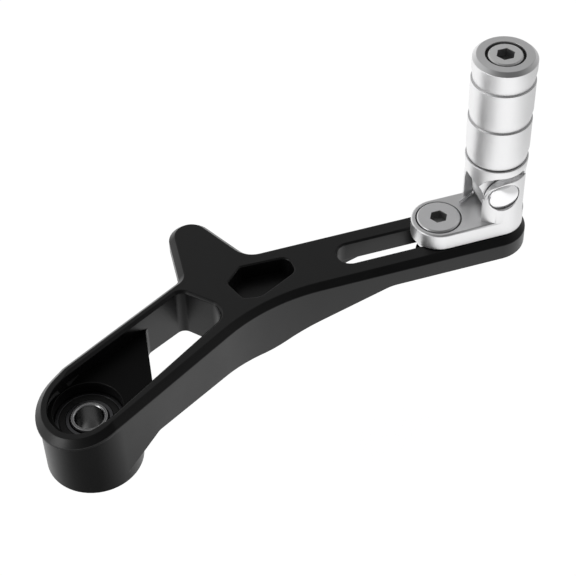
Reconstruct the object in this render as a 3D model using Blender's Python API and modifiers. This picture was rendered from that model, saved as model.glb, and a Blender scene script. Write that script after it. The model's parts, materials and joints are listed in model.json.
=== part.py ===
"""Motorcycle gear shift lever: pocketed alloy arm, bearing pivot, clamped bracket, folding toe peg.

Metres, +Z up. The origin is on the pivot axis at the boss's lower face. +X runs along the
adjustment slot, and the toe peg stands up along +Z at the slot's outer end.
"""
import math

import bmesh
import bpy
from mathutils import Vector

# Clearances and the flatness of round stretches
SEAT_GAP = 0.0003
RUNNING_GAP = 0.00015
BEARING_GAP = 0.0001
ARC_SAGITTA = 0.00005
WEDGE = 0.002

# Segments of turned shapes, by size
GRIP_TURN = 64
CORE_TURN = 56
WIDE_TURN = 48
PLAIN_TURN = 40
HOLE_TURN = 32

# Pivot boss
BOSS_RADIUS = 0.015
ARM_TOP = 0.0274
BOSS_FLOOR = 0.018
BORE_LAND_RADIUS = 0.0092
RIM_FALL_BEARING = math.radians(199)
RIM_FALL_START = -0.0030
RIM_FALL_SLOPE = 0.34
EDGE_CHAMFER = 0.002

# Plan of the arm
WEB_FRONT_ANGLE = math.radians(31.16)
WEB_BACK_ANGLE = math.radians(29.09)
BAR_CENTRE = 0.03165
BAR_HALF_WIDTH = 0.0113
BAR_END = 0.1428
WAIST_RADIUS = 0.063
EAR_LEFT_FOOT = (0.0392, 0.0420)
EAR_LEAN = 0.085
EAR_RIGHT_POINT = (0.0600, 0.0485)
EAR_SLOPE = 1.92
EAR_TIP_RADIUS = 0.0072
EAR_FOOT_RADIUS = 0.003
EAR_HEEL_RADIUS = 0.006
EAR_THICKNESS = 0.0065
EAR_STEP_Y = 0.0432
EAR_REACH = 0.080

# Side view of the arm's underside; corners that are filleted end with their radius
HEEL_START = (0.0075, 0.0033)
HEEL_TOP = (0.0199, 0.0101, 0.002)
WEB_DIP = (0.0470, 0.0087, 0.030)
KNEE = (0.0640, 0.0062, 0.020)
BAR_THICKNESS = 0.0079
BAR_START = 0.1043
BAR_FILLET = 0.012

# Through pocket between the boss and the middle
POCKET_RADIUS = 0.01095
POCKET_CHAMFER = 0.0008
POCKET_FRONT_ANGLE = math.radians(33.5)
POCKET_END_POINT = (0.0399, 0.0314)
POCKET_END_SLOPE = -1.059
POCKET_BACK_RADIUS = 0.003
POCKET_TIP_RADIUS = 0.0035
WINDOW_START = 0.0215
WINDOW_CORNER = 0.004

# Blind pocket in the middle
RECESS_DEPTH = 0.006
RECESS_CHAMFER = 0.0004
RECESS_OUTLINE = (
    (0.0588, 0.0372, 0.0012),
    (0.0746, 0.0366, 0.0030),
    (0.0750, 0.0298, 0.0030),
    (0.0612, 0.0226, 0.0060),
    (0.0558, 0.0238, 0.0020),
    (0.0530, 0.0316, 0.0012),
)

# Adjustment slot and the nut's track under it
SLOT_HALF_WIDTH = 0.0046
SLOT_START = 0.0898
SLOT_END = 0.1440
SLOT_CHAMFER = 0.0005
TRACK_HALF_WIDTH = 0.0066
TRACK_DEPTH = 0.0015

# Bearings and the sleeve between them
BEARING_OUTER_RADIUS = 0.0105
BEARING_INNER_RADIUS = 0.006
BEARING_WIDTH = 0.005
BEARING_RING_WALL = 0.0012
BEARING_BALL_RADIUS = 0.0009
BEARING_BALLS = 11
BEARING_SINK = 0.0006
SEAL_THICKNESS = 0.0004
SLEEVE_BORE_RADIUS = 0.0044
SLEEVE_TOP = 0.0183
SLEEVE_CHAMFER = 0.0004

# Bracket that carries the peg
SCREW_X = 0.1242
BRACKET_END_X = 0.1441
BRACKET_RADIUS = 0.0089
BRACKET_TOP = 0.0337
BRACKET_CHAMFER = 0.0005
KEY_DEPTH = 0.0035
LUG_LEFT = 0.0074
LUG_TOP = 0.0061
LUG_CROWN_RADIUS = 0.0042
LUG_CORNER_RADIUS = 0.0016
NEAR_LUG_THICKNESS = 0.0050
FAR_LUG_THICKNESS = 0.0036

# Clamp screw and its nut
DISC_RADIUS = 0.00744
DISC_TOP = 0.0348
DISC_THICKNESS = 0.0045
DISC_GAP = 0.0004
SCREW_RADIUS = 0.003
CLAMP_HEX_FLAT = 0.004
CLAMP_HEX_DEPTH = 0.0028
NUT_LENGTH = 0.022
NUT_THICKNESS = 0.0042

# Hinge of the peg
HINGE_X = 0.1428
HINGE_Z = 0.0440
PIN_RADIUS = 0.0025
PIN_HEAD_RADIUS = 0.0049
PIN_HEAD_SINK = 0.0022
PIN_RIM_DEPTH = 0.00108
PIN_DOME = 0.0013
PIN_DOME_STEPS = 6
PIN_TAIL_SINK = 0.0009
TONGUE_HALF_WIDTH = 0.0036
TONGUE_RADIUS = 0.0078
TONGUE_DROP = 0.0079
TONGUE_TOE_RADIUS = 0.0035
FORK_CEILING = 0.0090
FORK_LEFT = 0.0082
FORK_CORNER_RADIUS = 0.0045
NECK_START = 0.0020
NECK_STEPS = 8
COLLAR_START = 0.0107

# Torsion spring
SPRING_WIRE = 0.00055
SPRING_RADIUS = 0.0039
SPRING_TURNS = 1.75
SPRING_STEPS = 14
SPRING_PITCH = 0.0013
SPRING_POCKET_RADIUS = 0.0052
SPRING_BEND = 0.00165
SPRING_LEG_END = 0.1340
SPRING_LEG_SKEW = 0.0006

# Toe peg
PEG_RADIUS = 0.010
PEG_RIM = 0.0931
PEG_TOP_CHAMFER = 0.0012
SLEEVE_FOOT = 0.0563
GROOVE_DEPTH = 0.00045
GROOVE_CREASES = (0.0033, 0.0180)
GROOVE_LEDGES = (0.0075, 0.0220)
FOOT_CREASE = 0.0328
SPIGOT_RADIUS = 0.0052
CAP_RADIUS = 0.00536
CAP_HEAD_HEIGHT = 0.0045
CAP_SEAT_RADIUS = 0.0062
CAP_SHANK_RADIUS = 0.0025
CAP_SHANK_LENGTH = 0.016
CAP_HEX_FLAT = 0.005
CAP_HEX_DEPTH = 0.0030
RING_WIRE = 0.00028
RING_SINK = 0.00112

BRACKET_FLOOR = ARM_TOP + SEAT_GAP
PEG_FACE = PEG_RIM + PEG_TOP_CHAMFER
PEG_CENTRE = Vector((HINGE_X, BAR_CENTRE, 0))

ALLOY_BLACK = ("black anodised", (0.018, 0.018, 0.020), 0.42, 0.6)
ALLOY_SILVER = ("silver anodised", (0.78, 0.78, 0.79), 0.34, 0.9)
STEEL = ("plain steel", (0.62, 0.62, 0.63), 0.25, 1.0)
BLACK_STEEL = ("blackened steel", (0.05, 0.05, 0.055), 0.4, 0.9)
RUBBER = ("black rubber", (0.012, 0.012, 0.012), 0.8, 0.0)


def clear_scene():
    for item in list(bpy.data.objects):
        bpy.data.objects.remove(item)


def new_collection(name):
    collection = bpy.data.collections.new(name)
    bpy.context.scene.collection.children.link(collection)
    return collection


def material(look):
    name, colour, roughness, metallic = look
    if name in bpy.data.materials:
        return bpy.data.materials[name]
    made = bpy.data.materials.new(name)
    made.use_nodes = True
    shader = made.node_tree.nodes["Principled BSDF"]
    shader.inputs["Base Color"].default_value = (*colour, 1.0)
    shader.inputs["Roughness"].default_value = roughness
    shader.inputs["Metallic"].default_value = metallic
    return made


def piece(obj, look):
    """Puts an object among the parts, with its material and smooth round faces"""
    for holder in list(obj.users_collection):
        holder.objects.unlink(obj)
    parts.objects.link(obj)
    obj.data.materials.clear()
    obj.data.materials.append(material(look))
    obj.data.shade_smooth()
    obj.data.set_sharp_from_angle(angle=math.radians(28))
    return obj


def as_cutter(obj):
    for holder in list(obj.users_collection):
        holder.objects.unlink(obj)
    cutters.objects.link(obj)
    obj.hide_render = True
    obj.display_type = "WIRE"
    return obj


def boolean(target, tool, operation="DIFFERENCE"):
    as_cutter(tool)
    step = target.modifiers.new(tool.name, "BOOLEAN")
    step.operation = operation
    step.solver = "EXACT"
    step.object = tool
    return target


def mesh_object(name, bm):
    bmesh.ops.recalc_face_normals(bm, faces=bm.faces)
    mesh = bpy.data.meshes.new(name)
    bm.to_mesh(mesh)
    bm.free()
    obj = bpy.data.objects.new(name, mesh)
    cutters.objects.link(obj)
    return obj


def arc(centre, radius, start, end):
    """Points along an arc, close enough together to stay within ARC_SAGITTA of it"""
    widest = 2 * math.acos(1 - ARC_SAGITTA / radius)
    count = max(2, math.ceil(abs(end - start) / widest))
    angles = (start + (end - start) * i / count for i in range(count + 1))
    return [Vector((centre[0] + radius * math.cos(a), centre[1] + radius * math.sin(a))) for a in angles]


def rounded(corners):
    """Closed outline through corners given as (x, y, radius), with each corner filleted"""
    points = []
    for i, (x, y, radius) in enumerate(corners):
        corner = Vector((x, y))
        before = (Vector(corners[i - 1][:2]) - corner).normalized()
        after = (Vector(corners[(i + 1) % len(corners)][:2]) - corner).normalized()
        if radius <= 0:
            points.append(corner)
            continue
        half = before.angle(after) / 2
        centre = corner + (before + after).normalized() * radius / math.sin(half)
        first = corner + before * radius / math.tan(half) - centre
        last = corner + after * radius / math.tan(half) - centre
        start = math.atan2(first.y, first.x)
        turn = math.atan2(first.cross(last), first.dot(last))
        points += arc(centre, radius, start, start + turn)
    return points


def as_corners(points):
    return [(p.x, p.y, 0) for p in points]


def inset(outline, distance):
    """Moves each point of an anticlockwise outline inwards, or outwards if negative"""
    moved = []
    for i, point in enumerate(outline):
        before = (point - outline[i - 1]).normalized()
        after = (outline[(i + 1) % len(outline)] - point).normalized()
        normal = Vector((-before.y - after.y, before.x + after.x)).normalized()
        cosine = normal.dot(Vector((-before.y, before.x)))
        moved.append(point + normal * distance / cosine)
    return moved


def loft(name, sections):
    """Closed solid through outlines of equal length, each given as (outline, height)"""
    bm = bmesh.new()
    rings = [[bm.verts.new((p.x, p.y, z)) for p in outline] for outline, z in sections]
    for low, high in zip(rings, rings[1:]):
        for i in range(len(low)):
            j = (i + 1) % len(low)
            bm.faces.new((low[i], low[j], high[j], high[i]))
    bm.faces.new(rings[0][::-1])
    bm.faces.new(rings[-1])
    return mesh_object(name, bm)


def prism(name, outline, bottom, top):
    return loft(name, [(outline, bottom), (outline, top)])


def side_prism(name, profile, near, far):
    """Prism whose outline is drawn in X and Z and runs along Y from near to far"""
    obj = prism(name, profile, -far, -near)
    for vertex in obj.data.vertices:
        x, z, depth = vertex.co
        vertex.co = (x, -depth, z)
    return obj


def box(name, low, high):
    corners = [Vector((low[0], low[1])), Vector((high[0], low[1])),
               Vector((high[0], high[1])), Vector((low[0], high[1]))]
    return prism(name, corners, low[2], high[2])


def stadium(left, right, middle, radius):
    quarter = math.pi / 2
    return (arc((right, middle), radius, -quarter, quarter)
            + arc((left, middle), radius, quarter, 3 * quarter))


def turned(name, profile, segments, centre=(0, 0, 0), axis="Z"):
    """Turns a profile of (radius, height), listed down its outer side, with a Screw modifier"""
    mesh = bpy.data.meshes.new(name)
    verts = [(r, 0, z) for r, z in profile]
    edges = [(i, i + 1) for i in range(len(verts) - 1)]
    if profile[0][0] > 0:
        edges.append((len(verts) - 1, 0))
    mesh.from_pydata(verts, edges, [])
    obj = bpy.data.objects.new(name, mesh)
    cutters.objects.link(obj)
    obj.location = centre
    if axis == "Y":
        obj.rotation_euler = (-math.pi / 2, 0, 0)
    screw = obj.modifiers.new("turn", "SCREW")
    screw.steps = segments
    screw.render_steps = segments
    screw.use_merge_vertices = True
    screw.merge_threshold = 0.000001
    return obj


def cylinder(name, radius, bottom, top, segments, centre=(0, 0, 0), axis="Z"):
    return turned(name, [(0, top), (radius, top), (radius, bottom), (0, bottom)], segments, centre, axis)


def stepped_hole(name, narrow, narrow_end, wide, step, wide_end, centre, axis="Z"):
    """Cutter for a hole that widens at a step, listed down from its higher end"""
    profile = [(0, wide_end), (wide, wide_end), (wide, step), (narrow, step), (narrow, narrow_end), (0, narrow_end)]
    if wide_end < narrow_end:
        profile.reverse()
    return turned(name, profile, PLAIN_TURN, centre, axis)


def hexagon(flat, centre):
    corner = flat / 2 / math.cos(math.pi / 6)
    angles = (math.pi / 3 * i for i in range(6))
    return [Vector((centre[0] + corner * math.cos(a), centre[1] + corner * math.sin(a))) for a in angles]


def solid_from_curve(name, points, wire):
    """Tube of round wire through the points, with its caps welded on"""
    curve = bpy.data.curves.new(name, "CURVE")
    curve.dimensions = "3D"
    curve.bevel_depth = wire
    curve.bevel_resolution = 2
    curve.use_fill_caps = True
    spline = curve.splines.new("POLY")
    spline.points.add(len(points) - 1)
    for target, point in zip(spline.points, points):
        target.co = (*point, 1)
    source = bpy.data.objects.new(name + "_curve", curve)
    cutters.objects.link(source)
    evaluated = source.evaluated_get(bpy.context.evaluated_depsgraph_get())
    mesh = bpy.data.meshes.new_from_object(evaluated)
    bm = bmesh.new()
    bm.from_mesh(mesh)
    bmesh.ops.remove_doubles(bm, verts=bm.verts, dist=0.000001)
    obj = mesh_object(name, bm)
    obj.matrix_world = source.matrix_world
    bpy.data.objects.remove(source)
    return obj


def boss_arcs():
    """The boss's circle in two stretches: the free outer one, then the one inside the arm"""
    front = WEB_FRONT_ANGLE - math.pi / 2
    back = WEB_BACK_ANGLE + math.pi / 2
    outer = arc((0, 0), BOSS_RADIUS, back, front + 2 * math.pi)
    inner = arc((0, 0), BOSS_RADIUS, front, back)
    return outer, inner


def back_line(offset, x):
    """Height in plan of a line along the web's back, at an offset from the pivot"""
    return x * math.tan(WEB_BACK_ANGLE) + offset / math.cos(WEB_BACK_ANGLE)


def ear_left(y):
    return EAR_LEFT_FOOT[0] + EAR_LEAN * (y - EAR_LEFT_FOOT[1])


def ear_right(y):
    return EAR_RIGHT_POINT[0] - (y - EAR_RIGHT_POINT[1]) / EAR_SLOPE


def arm_outline():
    """Anticlockwise plan of the arm's walls: web, waist, bar, rear ear and boss"""
    bar_front = BAR_CENTRE - BAR_HALF_WIDTH
    bar_back = BAR_CENTRE + BAR_HALF_WIDTH
    waist_x = (bar_front + BOSS_RADIUS / math.cos(WEB_FRONT_ANGLE)) / math.tan(WEB_FRONT_ANGLE)
    notch_y = back_line(BOSS_RADIUS, EAR_LEFT_FOOT[0])
    tip_y = ((EAR_RIGHT_POINT[0] + EAR_RIGHT_POINT[1] / EAR_SLOPE - EAR_LEFT_FOOT[0]
              + EAR_LEAN * EAR_LEFT_FOOT[1]) / (EAR_LEAN + 1 / EAR_SLOPE))
    outer, inner = boss_arcs()
    front, back = inner[0], inner[-1]
    corners = [
        (front.x, front.y, 0),
        (waist_x, bar_front, WAIST_RADIUS),
        *as_corners(arc((BAR_END, BAR_CENTRE), BAR_HALF_WIDTH, -math.pi / 2, math.pi / 2)),
        (ear_right(bar_back), bar_back, EAR_HEEL_RADIUS),
        (ear_left(tip_y), tip_y, EAR_TIP_RADIUS),
        (ear_left(notch_y), notch_y, EAR_FOOT_RADIUS),
        (back.x, back.y, 0),
    ]
    outline = rounded(corners)
    return outline[1:-1] + outer


def lower_boss_end(arm):
    """Lets the arm's top fall away in a flat slope over the outer side of the boss"""
    direction = Vector((math.cos(RIM_FALL_BEARING), math.sin(RIM_FALL_BEARING), 0))
    bm = bmesh.new()
    bm.from_mesh(arm.data)
    everything = list(bm.verts) + list(bm.edges) + list(bm.faces)
    bmesh.ops.bisect_plane(bm, geom=everything, dist=0.0000001,
                           plane_co=direction * RIM_FALL_START, plane_no=direction)
    for vertex in bm.verts:
        beyond = vertex.co.dot(direction) - RIM_FALL_START
        if beyond > 0 and vertex.co.z > ARM_TOP / 2:
            vertex.co.z -= RIM_FALL_SLOPE * beyond
    bm.to_mesh(arm.data)
    bm.free()


def underside_cutter():
    """Everything under the arm: a side profile with the boss's cylinder left out of it"""
    left, right = -2 * BOSS_RADIUS, BAR_END + 2 * BAR_HALF_WIDTH
    bar_under = ARM_TOP - BAR_THICKNESS
    corners = [
        (left, -WEDGE, 0),
        (right, -WEDGE, 0),
        (right, bar_under, 0),
        (BAR_START, bar_under, BAR_FILLET),
        KNEE,
        WEB_DIP,
        HEEL_TOP,
        (*HEEL_START, 0),
        (left, HEEL_START[1], 0),
    ]
    cutter = side_prism("underside", rounded(corners), -4 * BOSS_RADIUS, 6 * BOSS_RADIUS)
    outer, inner = boss_arcs()
    boss = prism("underside_boss", outer[1:-1] + inner, -2 * WEDGE, ARM_TOP)
    return boolean(cutter, boss)


def ear_cutter():
    low, high = EAR_LEFT_FOOT[0] - BOSS_RADIUS, EAR_RIGHT_POINT[0] + BOSS_RADIUS
    return box("ear_underside", (low, EAR_STEP_Y, -WEDGE), (high, EAR_REACH, ARM_TOP - EAR_THICKNESS))


def pocket_outline():
    """Plan of the long pocket: round at the boss, with a slanted end at the middle"""
    front = POCKET_FRONT_ANGLE
    front_start = (POCKET_RADIUS * math.sin(front), -POCKET_RADIUS * math.cos(front))
    back_start = (-POCKET_RADIUS * math.sin(WEB_BACK_ANGLE), POCKET_RADIUS * math.cos(WEB_BACK_ANGLE))
    end_at_zero = POCKET_END_POINT[1] - POCKET_END_SLOPE * POCKET_END_POINT[0]
    tip_x = ((end_at_zero + POCKET_RADIUS / math.cos(front)) / (math.tan(front) - POCKET_END_SLOPE))
    back_x = ((end_at_zero - POCKET_RADIUS / math.cos(WEB_BACK_ANGLE))
              / (math.tan(WEB_BACK_ANGLE) - POCKET_END_SLOPE))
    corners = [
        (*front_start, 0),
        (tip_x, end_at_zero + POCKET_END_SLOPE * tip_x, POCKET_TIP_RADIUS),
        (back_x, end_at_zero + POCKET_END_SLOPE * back_x, POCKET_BACK_RADIUS),
        (*back_start, 0),
    ]
    around = arc((0, 0), POCKET_RADIUS, WEB_BACK_ANGLE + math.pi / 2, front + 1.5 * math.pi)
    return rounded(corners)[1:-1] + around


def chamfered_cutter(name, outline, bottom, chamfer):
    """Cutter for a pocket whose mouth in the arm's top has a chamfer"""
    return loft(name, [
        (outline, bottom),
        (outline, ARM_TOP - chamfer),
        (inset(outline, -chamfer - WEDGE), ARM_TOP + WEDGE),
    ])


def long_pocket_cutter():
    """Pocket with a floor at the boss and a window right through the rest, rounded at its left end"""
    cutter = chamfered_cutter("long_pocket", pocket_outline(), -WEDGE, POCKET_CHAMFER)
    wall = POCKET_RADIUS + ARC_SAGITTA
    far_x = WINDOW_START + 4 * WINDOW_CORNER
    corners = [
        (-2 * BOSS_RADIUS, -2 * BOSS_RADIUS, 0),
        (WINDOW_START, -2 * BOSS_RADIUS, 0),
        (WINDOW_START, back_line(wall, WINDOW_START), WINDOW_CORNER),
        (far_x, back_line(wall, far_x), 0),
        (far_x, 4 * BOSS_RADIUS, 0),
        (-2 * BOSS_RADIUS, 4 * BOSS_RADIUS, 0),
    ]
    return boolean(cutter, prism("boss_floor", rounded(corners), -2 * WEDGE, BOSS_FLOOR))


def slot_cutter():
    """The adjustment slot, chamfered at its mouth, over the wider track of the clamp nut"""
    slot = stadium(SLOT_START + SLOT_HALF_WIDTH, SLOT_END, BAR_CENTRE, SLOT_HALF_WIDTH)
    track = inset(slot, SLOT_HALF_WIDTH - TRACK_HALF_WIDTH)
    track_roof = ARM_TOP - BAR_THICKNESS + TRACK_DEPTH
    return loft("slot", [
        (track, -WEDGE),
        (track, track_roof),
        (slot, track_roof),
        (slot, ARM_TOP - SLOT_CHAMFER),
        (inset(slot, -SLOT_CHAMFER - WEDGE), ARM_TOP + WEDGE),
    ])


def bearing_seats():
    """The bore through the boss: a seat for a bearing at each end and a land between them"""
    seat = BEARING_OUTER_RADIUS + BEARING_GAP
    low_top, high_bottom = bearing_heights()[0][1] + BEARING_GAP, bearing_heights()[1][0] - BEARING_GAP
    profile = [
        (0, BOSS_FLOOR + WEDGE), (seat, BOSS_FLOOR + WEDGE), (seat, high_bottom),
        (BORE_LAND_RADIUS, high_bottom), (BORE_LAND_RADIUS, low_top), (seat, low_top),
        (seat, -WEDGE), (0, -WEDGE),
    ]
    return turned("bearing_seats", profile, WIDE_TURN)


def bearing_heights():
    """Lower and upper bearing, each as (bottom, top)"""
    upper_top = BOSS_FLOOR - BEARING_SINK
    return ((BEARING_SINK, BEARING_SINK + BEARING_WIDTH), (upper_top - BEARING_WIDTH, upper_top))


def make_arm():
    outline = arm_outline()
    arm = loft("lever_arm", [
        (outline, 0),
        (outline, ARM_TOP - EDGE_CHAMFER),
        (inset(outline, EDGE_CHAMFER), ARM_TOP),
    ])
    lower_boss_end(arm)
    boolean(arm, slot_cutter())
    boolean(arm, underside_cutter())
    boolean(arm, ear_cutter())
    boolean(arm, long_pocket_cutter())
    recess = rounded(RECESS_OUTLINE[::-1])
    boolean(arm, chamfered_cutter("recess", recess, ARM_TOP - RECESS_DEPTH, RECESS_CHAMFER))
    boolean(arm, bearing_seats())
    return piece(arm, ALLOY_BLACK)


def ring_profile(inner, outer, bottom, top):
    return [(outer, top), (outer, bottom), (inner, bottom), (inner, top)]


def make_bearing(place, bottom, top):
    """One sealed ball bearing: two rings, its balls and a seal on each side"""
    race_outer = BEARING_OUTER_RADIUS - BEARING_RING_WALL
    race_inner = BEARING_INNER_RADIUS + BEARING_RING_WALL
    pitch = (race_outer + race_inner) / 2
    middle = (bottom + top) / 2
    seal_out, seal_in = race_outer - BEARING_GAP, race_inner + BEARING_GAP
    outer_ring = ring_profile(race_outer, BEARING_OUTER_RADIUS, bottom, top)
    inner_ring = ring_profile(BEARING_INNER_RADIUS + BEARING_GAP, race_inner, bottom, top)
    lower_seal = ring_profile(seal_in, seal_out, bottom, bottom + SEAL_THICKNESS)
    upper_seal = ring_profile(seal_in, seal_out, top - SEAL_THICKNESS, top)
    piece(turned(place + "_bearing_outer_ring", outer_ring, WIDE_TURN), BLACK_STEEL)
    piece(turned(place + "_bearing_inner_ring", inner_ring, PLAIN_TURN), BLACK_STEEL)
    piece(turned(place + "_bearing_lower_seal", lower_seal, PLAIN_TURN), RUBBER)
    piece(turned(place + "_bearing_upper_seal", upper_seal, PLAIN_TURN), RUBBER)
    for i in range(BEARING_BALLS):
        angle = 2 * math.pi * i / BEARING_BALLS
        bm = bmesh.new()
        bmesh.ops.create_icosphere(bm, subdivisions=1, radius=BEARING_BALL_RADIUS)
        ball = mesh_object("%s_bearing_ball_%02d" % (place, i + 1), bm)
        ball.location = (pitch * math.cos(angle), pitch * math.sin(angle), middle)
        piece(ball, STEEL)


def make_sleeve():
    bottom = SEAT_GAP
    chamfer = SLEEVE_CHAMFER
    outer = BEARING_INNER_RADIUS - BEARING_GAP
    profile = [
        (outer - chamfer, SLEEVE_TOP), (outer, SLEEVE_TOP - chamfer), (outer, bottom + chamfer),
        (outer - chamfer, bottom), (SLEEVE_BORE_RADIUS + chamfer, bottom),
        (SLEEVE_BORE_RADIUS, bottom + chamfer), (SLEEVE_BORE_RADIUS, SLEEVE_TOP - chamfer),
        (SLEEVE_BORE_RADIUS + chamfer, SLEEVE_TOP),
    ]
    return piece(turned("pivot_sleeve", profile, PLAIN_TURN), STEEL)


def lug_plan():
    """Plan of both lugs before the channel: square at the left, round at the bar's end"""
    left = HINGE_X - LUG_LEFT
    low, high = BAR_CENTRE - BRACKET_RADIUS, BAR_CENTRE + BRACKET_RADIUS
    corners = rounded([(left, high, LUG_CORNER_RADIUS), (left, low, LUG_CORNER_RADIUS)] +
                      [(BRACKET_END_X, low, 0), (BRACKET_END_X, high, 0)])
    end = arc((BRACKET_END_X, BAR_CENTRE), BRACKET_RADIUS, -math.pi / 2, math.pi / 2)
    return corners[:-2] + end


def crown_cutter(left, near, far):
    """Takes the left shoulder off both lugs, down a quarter of a circle"""
    top = HINGE_Z + LUG_TOP
    foot = top - LUG_CROWN_RADIUS
    quarter = arc((left + LUG_CROWN_RADIUS, foot), LUG_CROWN_RADIUS, math.pi, math.pi / 2)
    outside = [
        (left + LUG_CROWN_RADIUS, top + WEDGE, 0),
        (left - WEDGE, top + WEDGE, 0),
        (left - WEDGE, foot, 0),
    ]
    return side_prism("lug_crown", rounded(as_corners(quarter) + outside), near - WEDGE, far + WEDGE)


def make_bracket():
    plate = stadium(SCREW_X, BRACKET_END_X, BAR_CENTRE, BRACKET_RADIUS)
    bracket = loft("peg_bracket", [
        (plate, BRACKET_FLOOR),
        (plate, BRACKET_TOP - BRACKET_CHAMFER),
        (inset(plate, BRACKET_CHAMFER), BRACKET_TOP),
    ])
    lugs = prism("lugs", lug_plan(), BRACKET_FLOOR + BRACKET_CHAMFER, HINGE_Z + LUG_TOP)
    left, right = HINGE_X - LUG_LEFT, BRACKET_END_X + BRACKET_RADIUS
    near, far = BAR_CENTRE - BRACKET_RADIUS, BAR_CENTRE + BRACKET_RADIUS
    boolean(lugs, crown_cutter(left, near, far))
    channel = box("channel", (left - WEDGE, near + NEAR_LUG_THICKNESS, BRACKET_TOP),
                  (right + WEDGE, far - FAR_LUG_THICKNESS, HINGE_Z + LUG_TOP + WEDGE))
    boolean(bracket, lugs, "UNION")
    boolean(bracket, channel)
    key = stadium(SCREW_X - SCREW_RADIUS, SLOT_END - SEAT_GAP, BAR_CENTRE, SLOT_HALF_WIDTH - SEAT_GAP)
    boolean(bracket, prism("key", key, BRACKET_FLOOR - KEY_DEPTH, BRACKET_FLOOR + BRACKET_CHAMFER), "UNION")
    centre = (SCREW_X, BAR_CENTRE, 0)
    boolean(bracket, stepped_hole(
        "screw_hole", SCREW_RADIUS + SEAT_GAP, BRACKET_FLOOR - KEY_DEPTH - WEDGE,
        DISC_RADIUS + DISC_GAP, DISC_TOP - DISC_THICKNESS - SEAT_GAP, DISC_TOP + WEDGE, centre))
    boolean(bracket, stepped_hole(
        "pin_hole", PIN_RADIUS + RUNNING_GAP, far + WEDGE,
        PIN_HEAD_RADIUS + SEAT_GAP, near + PIN_HEAD_SINK, near - WEDGE, (HINGE_X, 0, HINGE_Z), "Y"))
    return piece(bracket, ALLOY_SILVER)


def make_clamp_screw():
    chamfer = SLEEVE_CHAMFER
    disc_bottom = DISC_TOP - DISC_THICKNESS
    shank_end = ARM_TOP - BAR_THICKNESS + TRACK_DEPTH - NUT_THICKNESS
    profile = [
        (0, DISC_TOP), (DISC_RADIUS - chamfer, DISC_TOP), (DISC_RADIUS, DISC_TOP - chamfer),
        (DISC_RADIUS, disc_bottom), (SCREW_RADIUS, disc_bottom), (SCREW_RADIUS, shank_end + chamfer),
        (SCREW_RADIUS - chamfer, shank_end), (0, shank_end),
    ]
    screw = turned("clamp_screw", profile, WIDE_TURN, (SCREW_X, BAR_CENTRE, 0))
    socket = prism("clamp_hex", hexagon(CLAMP_HEX_FLAT, (SCREW_X, BAR_CENTRE)),
                   DISC_TOP - CLAMP_HEX_DEPTH, DISC_TOP + WEDGE)
    return piece(boolean(screw, socket), STEEL)


def make_clamp_nut():
    top = ARM_TOP - BAR_THICKNESS + TRACK_DEPTH - SEAT_GAP
    half = NUT_LENGTH / 2 - TRACK_HALF_WIDTH + SEAT_GAP
    outline = stadium(SCREW_X - half, SCREW_X + half, BAR_CENTRE, TRACK_HALF_WIDTH - SEAT_GAP)
    nut = prism("clamp_nut", outline, top - NUT_THICKNESS, top)
    hole = cylinder("nut_hole", SCREW_RADIUS + SEAT_GAP, top - NUT_THICKNESS - WEDGE, top + WEDGE,
                    HOLE_TURN, (SCREW_X, BAR_CENTRE, 0))
    return piece(boolean(nut, hole), BLACK_STEEL)


def make_hinge_pin():
    """Pin with a domed head in the near lug; its plain end stops inside the far lug"""
    near = BAR_CENTRE - BRACKET_RADIUS
    seat = near + PIN_HEAD_SINK - SEAT_GAP
    sphere = (PIN_HEAD_RADIUS ** 2 + PIN_DOME ** 2) / (2 * PIN_DOME)
    edge = math.asin(PIN_HEAD_RADIUS / sphere)
    middle = near + PIN_RIM_DEPTH + sphere * math.cos(edge)
    angles = (edge * i / PIN_DOME_STEPS for i in range(PIN_DOME_STEPS, -1, -1))
    dome = [(sphere * math.sin(a), middle - sphere * math.cos(a)) for a in angles]
    far = BAR_CENTRE + BRACKET_RADIUS - PIN_TAIL_SINK
    profile = [(0, far), (PIN_RADIUS, far), (PIN_RADIUS, seat), (PIN_HEAD_RADIUS, seat)] + dome
    pin = turned("hinge_pin", profile, PLAIN_TURN, (HINGE_X, 0, HINGE_Z), "Y")
    return piece(pin, STEEL)


def neck_profile():
    """Outer side of the peg's core from the collar down to the tongue, radius over height"""
    rise = COLLAR_START - NECK_START
    step = PEG_RADIUS - TONGUE_RADIUS
    radius = (rise ** 2 + step ** 2) / (2 * step)
    sweep = math.asin(rise / radius)
    angles = (sweep * i / NECK_STEPS for i in range(NECK_STEPS, -1, -1))
    return [(TONGUE_RADIUS + radius - radius * math.cos(a), HINGE_Z + NECK_START + radius * math.sin(a))
            for a in angles]


def fork_cutter(name, inner, outer):
    """Room for a lug beside the tongue, open below and to the right, with a rounded roof"""
    left, right = HINGE_X - FORK_LEFT, HINGE_X + 2 * PEG_RADIUS
    bottom, roof = HINGE_Z - 2 * TONGUE_DROP, HINGE_Z + FORK_CEILING
    profile = rounded([(left, bottom, 0), (right, bottom, 0), (right, roof, 0), (left, roof, FORK_CORNER_RADIUS)])
    return side_prism(name, profile, inner, outer)


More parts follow.
